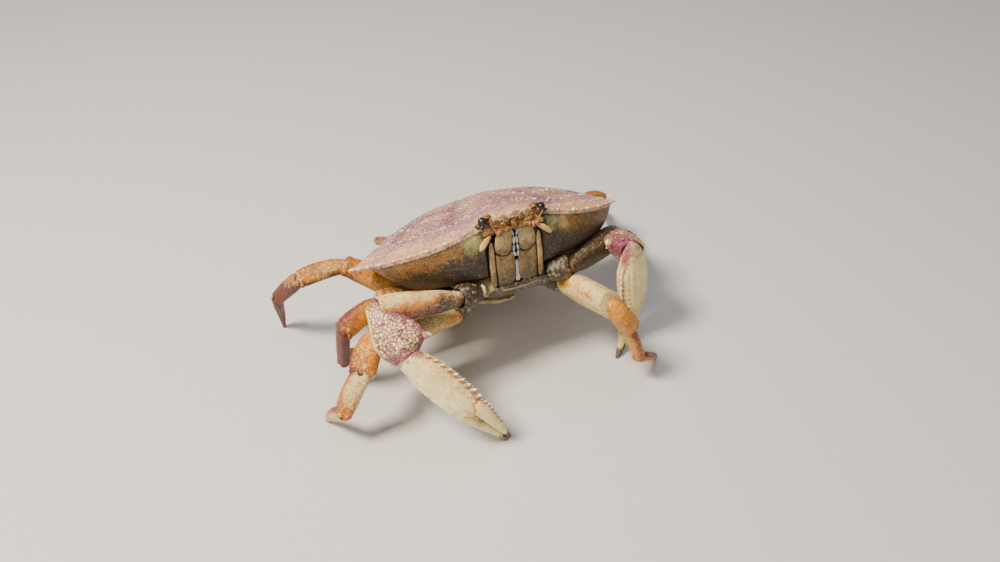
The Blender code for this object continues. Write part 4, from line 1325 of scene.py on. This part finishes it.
def make_arm_plate(side, sign, part, start, end, crest, seed):
    axis = unit(end - start)
    length = np.linalg.norm(end - start)
    sections = CLAW_SECTIONS[part]
    share, closing = rounded_ends(ARM_RINGS, END_CAP)
    at = np.linspace(0, 1, ARM_RINGS + 1)
    bulb = BULB * sections[0][1] * WIDTH
    reach = length * share - bulb * quarter_fall(at / END_CAP)
    middles = start + axis * reach[:, None]
    outer, inner, thick = (soft_line(share, sections, column) * WIDTH for column in (1, 2, 3))
    plate, at, turn = add_long_plate(f"claw_{part}_{side}_plate", middles, crest, outer, inner, thick, 72,
                                     swell=arm_ridges(part), closing=closing)
    wave = ripple(read_points(plate), 0.008, seed)
    extras = []
    if part == "merus":
        front = facing(np.array([0.0, -1.0, 0.0]), axis, crest)
        # The left arm lies in shadow, so its upper arm is painted dark as shade.
        merus_marks(plate, at, turn, wave, front, 1.0 if side == "left" else 0.0)
    else:
        carpus_marks(plate, at, turn, wave)
        toward = facing(np.array([-sign, -0.2, 0.1]), axis, crest)
        wrist_spines = ((0.80, pi / 2, 0.026, 0.030), (0.70, toward, 0.010, 0.012),
                        (0.90, pi / 2 + 0.8, 0.008, 0.009))
        for share_at, turn_at, tall, wide in wrist_spines:
            high, deep = outer_and_thick(sections, share_at)
            place = start + axis * length * share_at
            base, out = point_on(place, axis, crest, turn_at, high * 0.90, deep * 0.90)
            extras.append(plant_spine(base, out, axis, tall * WIDTH, wide * WIDTH))
    across = np.cross(axis, unit(crest - axis * np.dot(crest, axis)))
    extras += hinge_knobs(end - axis * 0.0010, across, sections[-1][3] * 0.80, 0.0095)
    join_pieces(plate, extras)
    finish_piece(plate, claw_chitin, [f"claw_{part}_{side}"])


# %% [markdown]
# The palm's sections run straight from the wrist to the hinge, then sink to the lower
# side and follow the fixed finger to its tip on the floor. Easing the row of sections
# a few times rounds the step between them, as on the real claw.

# %% Palm, fixed finger and moving finger
PALM_RINGS = 62
FINGER_RINGS = 50
PALM_CAP = 0.09  # share of the palm's rings that closes its root
HINGE_AT = PALM_RINGS / (PALM_RINGS + FINGER_RINGS)  # share of all rings up to the hinge


def biting_teeth(turn, share, inward):
    """Blunt teeth where the two fingers meet."""
    return round_hump(turn, inward, 0.55) * (0.05 + 0.20 * np.abs(np.sin(share * pi * 8)) ** 0.7)


def palm_and_finger(at):
    """Shares along the palm, and along the fixed finger after it."""
    palm = np.clip(at / HINGE_AT, 0, 1)
    finger = np.clip((at - HINGE_AT) / (1 - HINGE_AT), 0, 1)
    return palm, finger


def palm_ribs(at, turn):
    palm, finger = palm_and_finger(at)
    beads = 0.85 + 0.15 * np.cos(at * 210)
    ribs = on_faces(turn, (0.72, 0.24, -0.24, -0.72), 0.11) * beads
    ribbed = 0.115 * ribs * smooth_step(palm, 0.10, 0.30) * smooth_step(finger, 0.9, 0.4)
    ribbed += 0.11 * hump(at, 0.975 * HINGE_AT, 0.012) * round_hump(turn, pi / 2, 1.1)
    broad = 0.07 * on_faces(turn, (-0.80,), 0.14) - 0.09 * on_faces(turn, (-0.42,), 0.16)
    broad -= 0.07 * on_faces(turn, (0.98,), 0.12)
    ribbed += broad * smooth_step(palm, 0.12, 0.35) * smooth_step(finger, 0.8, 0.2)
    toothed = smooth_step(finger, 0.12, 0.2) * smooth_step(finger, 1.0, 0.85)
    return ribbed + biting_teeth(turn, finger, pi / 2) * toothed


def palm_marks(plate, at, turn, seed):
    """An orange crest, brown furrows and finger tip, and a dark line at the hinge."""
    palm, finger = palm_and_finger(at)
    wave = ripple(read_points(plate), 0.006, seed)
    crest = round_hump(turn, pi / 2, 0.55) * smooth_step(finger, 0.1, 0)
    orange = 0.50 * crest + 0.60 * hump(palm, 0.97, 0.03) * smooth_step(finger, 0.2, 0)
    biting_edge = smooth_step(finger, 0.05, 0.3) * round_hump(turn, pi / 2, 0.9)
    furrows = on_faces(turn, (0.48, 0.0, -0.48), 0.07)
    furrows *= smooth_step(palm, 0.15, 0.4) * smooth_step(finger, 0.4, 0)
    hinge_line = hump(palm, 1.0, 0.012) * round_hump(turn, pi / 2, 1.2) * smooth_step(finger, 0.15, 0)
    horn = 0.60 * smooth_step(finger, 0.08, 0.4) * (0.6 + 0.5 * wave)
    horn += 0.8 * smooth_step(finger, 0.80, 0.95)
    wine = 0.55 * smooth_step(palm, 0.14, 0.04) + 0.5 * crest * hump(palm, 0.15, 0.12)
    carry(plate, "orange", orange + 0.20 * wave)
    carry(plate, "wine", wine + 0.45 * biting_edge)
    carry(plate, "brown", horn + 0.30 * furrows + 0.8 * hinge_line)
    carry(plate, "pale", 0.55 * round_hump(turn, -0.2, 0.8) * (1 - finger))


def make_palm(side, wrist, hinge, tip, axis, up, seed):
    along = np.linspace(0, 1, PALM_RINGS)
    onward = np.linspace(0.03, 1, FINGER_RINGS + 1)
    reach = along * PALM_LENGTH * WIDTH - 1.5 * PALM[0][1] * WIDTH * quarter_fall(along / PALM_CAP)
    sunk = up * (soft_line(onward, FIXED_FINGER, 1) * WIDTH)[:, None]
    middles = np.concatenate([wrist + axis * reach[:, None], finger_line(hinge, tip, axis, onward) + sunk])
    middles = eased(middles)
    halves = []
    for column, finger_column in ((1, 2), (2, 2), (3, 3)):
        on_palm = soft_line(along, PALM, column)
        on_finger = soft_line(onward, FIXED_FINGER, finger_column)
        halves.append(eased(np.concatenate([on_palm, on_finger])) * WIDTH)
    outer, inner, thick = halves
    closing = np.concatenate([quarter_rise(along / PALM_CAP), quarter_rise((1 - onward) / 0.04)])
    plate, at, turn = add_long_plate(f"claw_palm_{side}_plate", middles, up, outer, inner, thick, 96,
                                     swell=palm_ribs, closing=closing)
    keep_above_floor(plate)
    palm_marks(plate, at, turn, seed)
    extras = []
    for row_turn, tall in SPINE_ROWS:
        for k in range(SPINES_IN_ROW):
            share = 0.14 + 0.84 * k / (SPINES_IN_ROW - 1)
            high, deep = outer_and_thick(PALM, share)
            place = wrist + axis * PALM_LENGTH * WIDTH * share
            base, out = point_on(place, axis, up, row_turn, high * 0.93, deep * 0.93)
            grow = tall * WIDTH * (0.65 + 0.35 * k / SPINES_IN_ROW)
            extras.append(plant_spine(base, out, axis, grow, grow * 0.72))
    extras += hinge_knobs(hinge + up * 0.020 * WIDTH - axis * 0.0008, np.cross(axis, up), 0.029, 0.0100)
    join_pieces(plate, extras)
    keep_above_floor(plate)
    finish_piece(plate, claw_chitin, [f"claw_palm_{side}"])


def finger_flutes(at, turn):
    furrows = on_faces(turn, (0.35, -0.35), 0.16) * smooth_step(at, 0.1, 0.2) * smooth_step(at, 0.95, 0.8)
    toothed = smooth_step(at, 0.15, 0.25) * smooth_step(at, 1.0, 0.85)
    return biting_teeth(turn, at, -pi / 2) * toothed - 0.06 * furrows


def make_moving_finger(side, hinge, tip, axis, up, seed):
    def on_curve(share, ahead=0.0):
        return finger_line(hinge, tip, axis, 0.01 + 0.96 * np.atleast_1d(share) + ahead)

    share, closing = rounded_ends(64, 0.035)
    middles = on_curve(share) + up * (soft_line(share, MOVING_FINGER, 1) * WIDTH)[:, None]
    tall = soft_line(share, MOVING_FINGER, 2) * WIDTH
    thick = soft_line(share, MOVING_FINGER, 3) * WIDTH
    plate, at, turn = add_long_plate(f"claw_finger_{side}_plate", middles, up, tall, tall, thick, 64,
                                     swell=finger_flutes, closing=closing)
    wave = ripple(read_points(plate), 0.006, seed)
    horn = 0.35 * smooth_step(at, 0.45, 0.8) * (0.6 + 0.4 * wave) + smooth_step(at, 0.80, 0.95)
    carry(plate, "orange", 0.40 * round_hump(turn, pi / 2, 0.6) + 0.25 * wave)
    carry(plate, "brown", horn + 0.9 * smooth_step(at, 0.045, 0.02))
    carry(plate, "pale", 0.5 * (1 - at))
    spines = []
    for k in range(8):
        share_at = 0.06 + 0.62 * k / 7
        here = on_curve(share_at)[0]
        forward = unit(on_curve(share_at, 0.05)[0] - here)
        middle = here + up * soft_line(share_at, MOVING_FINGER, 1) * WIDTH
        high = soft_line(share_at, MOVING_FINGER, 2)
        base, out = point_on(middle, forward, up, pi / 2, high * 0.9, high)
        grow = (0.015 - 0.008 * share_at) * WIDTH
        spines.append(plant_spine(base, out, forward, grow, grow * 0.85))
    join_pieces(plate, spines)
    keep_above_floor(plate)
    finish_piece(plate, claw_chitin, [f"claw_finger_{side}"])


def build_claw(side, sign):
    hip_root, shoulder, elbow, wrist = leg_joints["claw", side]
    axis = heading(*PALM_HEADING[side])
    crests = [heading(*angles) for angles in CREST[side]]
    up = unit(crests[2] - axis * np.dot(crests[2], axis))
    hinge = wrist + axis * PALM_LENGTH * WIDTH
    tip = floor_tip(f"claw_palm_{side}")
    make_arm_plate(side, sign, "merus", shoulder, elbow, crests[0], 60)
    make_arm_plate(side, sign, "carpus", elbow, wrist, crests[1], 61)
    make_palm(side, wrist, hinge, tip, axis, up, 62)
    make_moving_finger(side, hinge, tip, axis, up, 63)
    balls = [joint_ball(shoulder, hip_root, elbow, 0.024 * WIDTH),
             joint_ball(elbow, shoulder, wrist, 0.027 * WIDTH),
             joint_ball(wrist, elbow, hinge, 0.026 * WIDTH)]
    finish_piece(join_all(balls, f"claw_membranes_{side}"), hinge_membrane)


for side, sign in SIDES:
    build_claw(side, sign)

# %% [markdown]
# ## Hips and underside
# Each limb hangs on a short stub, the coxa, with a raised ring at its end. Between the
# hips lies the breast plate, cut by shallow seams into its segments, and the narrow tail
# flap is folded forward under it. The same long-plate helper makes them all.

# %% Hips
HIP_RADIUS = [(0, 0.035), (0.35, 0.040), (0.8, 0.042), (1, 0.035)]


def hip_rings(at, turn):
    raised_edge = 0.07 * hump(at, 0.62, 0.025) + 0.10 * smooth_step(at, 0.85, 1.0)
    return 0.05 * round_hump(turn, pi / 2, 0.4) - raised_edge


def build_hip(pair, side):
    root, end = leg_joints[pair, side][:2]
    axis = unit(end - root)
    up = np.array(body_direction((0, 0, 1)))
    size = min(LEG_SIZE[pair][0], 1.0) if pair in LEG_SIZE else 1.0
    share, closing = rounded_ends(40, 0.06)
    middles = root + axis * (np.linalg.norm(end - root) * (1.06 * share - 0.03))[:, None]
    radius = soft_line(share, HIP_RADIUS, 1) * size * WIDTH
    plate, at, _ = add_long_plate(f"{pair}_hip_{side}_plate", middles, up, radius, radius, radius,
                                  40, 0.9, hip_rings, closing)
    wave = ripple(read_points(plate), 0.007, 30)
    carry(plate, "seam", hump(at, 0.62, 0.03))
    # Painted shade: the hips lie in shadow under the body, so they are painted dark brown, the claw hips
    # darkest.
    carry(plate, "brown", (1.1 if pair == "claw" else 0.75) + 0.4 * wave)
    carry(plate, "pale", 0)
    across = unit(np.cross(axis, up))
    join_pieces(plate, hinge_knobs(end - axis * 0.0022, across, 0.030 * size, 0.009 * size))
    finish_piece(plate, belly_chitin, [f"{pair}_hip_{side}"])


for side, _ in SIDES:
    for pair in ("claw", "leg1", "leg2", "leg3", "leg4"):
        build_hip(pair, side)

# %% Breast plate and tail flap
STERNUM = ((-0.246, 0.088, -0.190), (-0.222, 0.100, -0.201), (-0.200, 0.110, -0.206),
           (-0.15, 0.130, -0.210), (-0.05, 0.143, -0.208), (0.05, 0.143, -0.205),
           (0.13, 0.135, -0.200), (0.19, 0.105, -0.190), (0.215, 0.060, -0.180))
STERNUM_SEAMS = (-0.165, -0.085, 0.0, 0.085, 0.155)
SEGMENT_SEAMS = [k / 6.4 for k in range(1, 6)]  # along the tail flap


def sternum_share(y):
    """How far along the breast plate a place lies."""
    return (y - STERNUM[0][0]) / (STERNUM[-1][0] - STERNUM[0][0])


def cut_seams(spots, reach, depth):
    """Shallow seams across the outer face of a long plate."""
    def swell(at, turn):
        return -depth * sum(hump(at, spot, reach) for spot in spots) * smooth_step(np.sin(turn), 0, 0.4)
    return swell


share, closing = rounded_ends(96, 0.03)
line = STERNUM[0][0] + (STERNUM[-1][0] - STERNUM[0][0]) * share
rows = [(sternum_share(y), half, bottom) for y, half, bottom in STERNUM]
half, bottom = soft_line(share, rows, 1, 0.06), soft_line(share, rows, 2, 0.06)
middles = body_to_world(np.stack([0 * line, line, (bottom + BASE_Z) / 2], 1))
depth = (BASE_Z - 0.003 - bottom) / 2 * WIDTH
down = np.array(body_direction((0, 0, -1)))
seam_at = [sternum_share(y) * 0.94 + 0.03 for y in STERNUM_SEAMS]
sternum, at, _ = add_long_plate("sternum_plate", middles, down, depth, depth, half * WIDTH, 72, 0.55,
                                   cut_seams(seam_at, 0.010, 0.07), closing)
carry(sternum, "seam", sum(hump(at, middle, 0.012) for middle in seam_at) * 0.9)
carry(sternum, "brown", 0.28 + 0.3 * ripple(read_points(sternum), 0.012, 5))
finish_piece(sternum, belly_chitin, ["sternum"])

ABDOMEN = ((0.286, -0.032, 0.150), (0.290, -0.075, 0.148), (0.278, -0.130, 0.138),
           (0.252, -0.185, 0.122), (0.205, -0.224, 0.104), (0.13, -0.232, 0.086),
           (0.05, -0.235, 0.066), (-0.03, -0.236, 0.046), (-0.078, -0.236, 0.029),
           (-0.094, -0.233, 0.006))
lengths = lengths_along(np.array(ABDOMEN)[:, :2])
rows = [(travelled / lengths[-1], *row) for travelled, row in zip(lengths, ABDOMEN)]
share, closing = rounded_ends(120, 0.02)
flap_y, flap_z, half = (soft_line(share, rows, column, 0.06) for column in (1, 2, 3))
middles = body_to_world(np.stack([0 * flap_y, flap_y, flap_z], 1))
run = np.gradient(middles, axis=0)
out = np.cross(run, body_direction((1, 0, 0)))
out *= np.sign((out @ np.array(body_direction((0, 0.4, -1))))[len(out) // 2])
thick = 0.010 * WIDTH * (1 - 0.75 * smooth_step(share, 0.88, 1))
flap, at, _ = add_long_plate("tail_flap", middles, out, thick * 1.3, thick * 0.9, half * WIDTH, 64, 0.6,
                                cut_seams(SEGMENT_SEAMS, 0.008, 0.30), closing)
carry(flap, "seam", 0.7 * sum(hump(at, spot, 0.008) for spot in SEGMENT_SEAMS))
carry(flap, "brown", 0.25 + 0.3 * ripple(read_points(flap), 0.012, 6))
finish_piece(flap, belly_chitin, ["abdomen"])

# %% Front lip of the breast plate and the white knuckles of the first hips
LIP_TOP = np.array([-0.258, -0.172])
LIP_FOOT = np.array([-0.224, -0.208])
LIP = [(-0.094, 0.10), (-0.050, -0.02), (0.0, 0.04), (0.050, -0.02), (0.094, 0.10), (0.112, 0.55),
       (0.100, 0.85), (0.050, 1.0), (0.0, 0.96), (-0.050, 1.0), (-0.100, 0.85), (-0.112, 0.55)]


def on_lip(across, down, height):
    out = unit(np.array([LIP_FOOT[1] - LIP_TOP[1], LIP_TOP[0] - LIP_FOOT[0]]))
    spot = LIP_TOP + np.asarray(down)[:, None] * (LIP_FOOT - LIP_TOP) + out * np.asarray(height)[:, None]
    return np.stack([across, spot[:, 0], spot[:, 1]], 1)


lip = add_shield("breast_lip", LIP, 0.003, 0.012, on_lip, 96, 24)
carry(lip, "brown", 1.0 + 0.45 * ripple(read_points(lip), 0.010, 8))
knuckles = []
for sign in (1, -1):
    knuckle = add_lump("knuckle", (0.124, -0.243, -0.166), (0.011, 0.009, 0.019), 8, 1.2, sign, 3, 0.05)
    carry(knuckle, "brown", 0)
    knuckles.append(knuckle)
join_pieces(lip, knuckles)
finish_piece(lip, belly_chitin)

for pattern in (spine, knob):
    bpy.data.objects.remove(pattern)

# %% [markdown]
# ## Stage, light and camera
# A pale, plain floor and three large soft lamps: a high one behind the crab's right for
# the sun's side, a weak one in front so that the face reads, and a broad one overhead.

# %% Floor and lamps
deselect_all()
bpy.ops.mesh.primitive_plane_add(size=6, location=(0, 0, 0))
floor = bpy.context.object
floor.name = "floor"
floor_paper = bpy.data.materials.new("pale_paper")
floor_paper.use_nodes = True
paper = floor_paper.node_tree
paper_shader = paper.nodes["Principled BSDF"]
fibre_place = add_node(paper, "ShaderNodeTexCoord").outputs["Object"]
fibres = add_noise(paper, fibre_place, 260.0, 2.0).outputs["Fac"]
paper.links.new(add_range(paper, fibres, 0.0, 1.0, 0.60, 0.66), paper_shader.inputs["Base Color"])
paper_shader.inputs["Roughness"].default_value = 0.85
floor.data.materials.append(floor_paper)


def add_lamp(name, place, target, size, power, tint="#ffffff"):
    bpy.ops.object.light_add(type="AREA", location=place)
    lamp = bpy.context.object
    lamp.name = name
    lamp.data.size = size
    lamp.data.energy = power
    lamp.data.color = hex_colour(tint)[:3]
    lamp.rotation_euler = (Vector(target) - Vector(place)).to_track_quat("-Z", "Y").to_euler()
    return lamp


add_lamp("key_lamp", (-0.60, -0.10, 0.95), (0, -0.03, 0.03), 0.26, 24, "#fff1da")
add_lamp("front_lamp", (-0.45, -0.85, 0.80), (0, -0.03, 0.05), 0.6, 4.0, "#fbf6ec")
add_lamp("top_lamp", (0.25, 0.1, 1.2), (0, 0, 0), 1.0, 5, "#ffffff")
sky = bpy.data.worlds.new("studio")
bpy.context.scene.world = sky
sky.use_nodes = True
sky.node_tree.nodes["Background"].inputs["Color"].default_value = hex_colour("#dfe3e8")
sky.node_tree.nodes["Background"].inputs["Strength"].default_value = 0.18

# %% Camera
CAMERA_PLACE = (-0.13504, -0.35652, 0.33747)
CAMERA_LOOK = (0.2878, 0.719, -0.6326)  # the way that it points
LENS_MM = 30.384
SENSOR_MM = 36
camera_data = bpy.data.cameras.new("camera")
camera = bpy.data.objects.new("camera", camera_data)
bpy.context.scene.collection.objects.link(camera)
camera.location = CAMERA_PLACE
camera.rotation_euler = Vector(CAMERA_LOOK).to_track_quat("-Z", "Y").to_euler()
camera_data.lens = LENS_MM
camera_data.sensor_width = SENSOR_MM
camera_data.clip_start = 0.01
bpy.context.scene.camera = camera
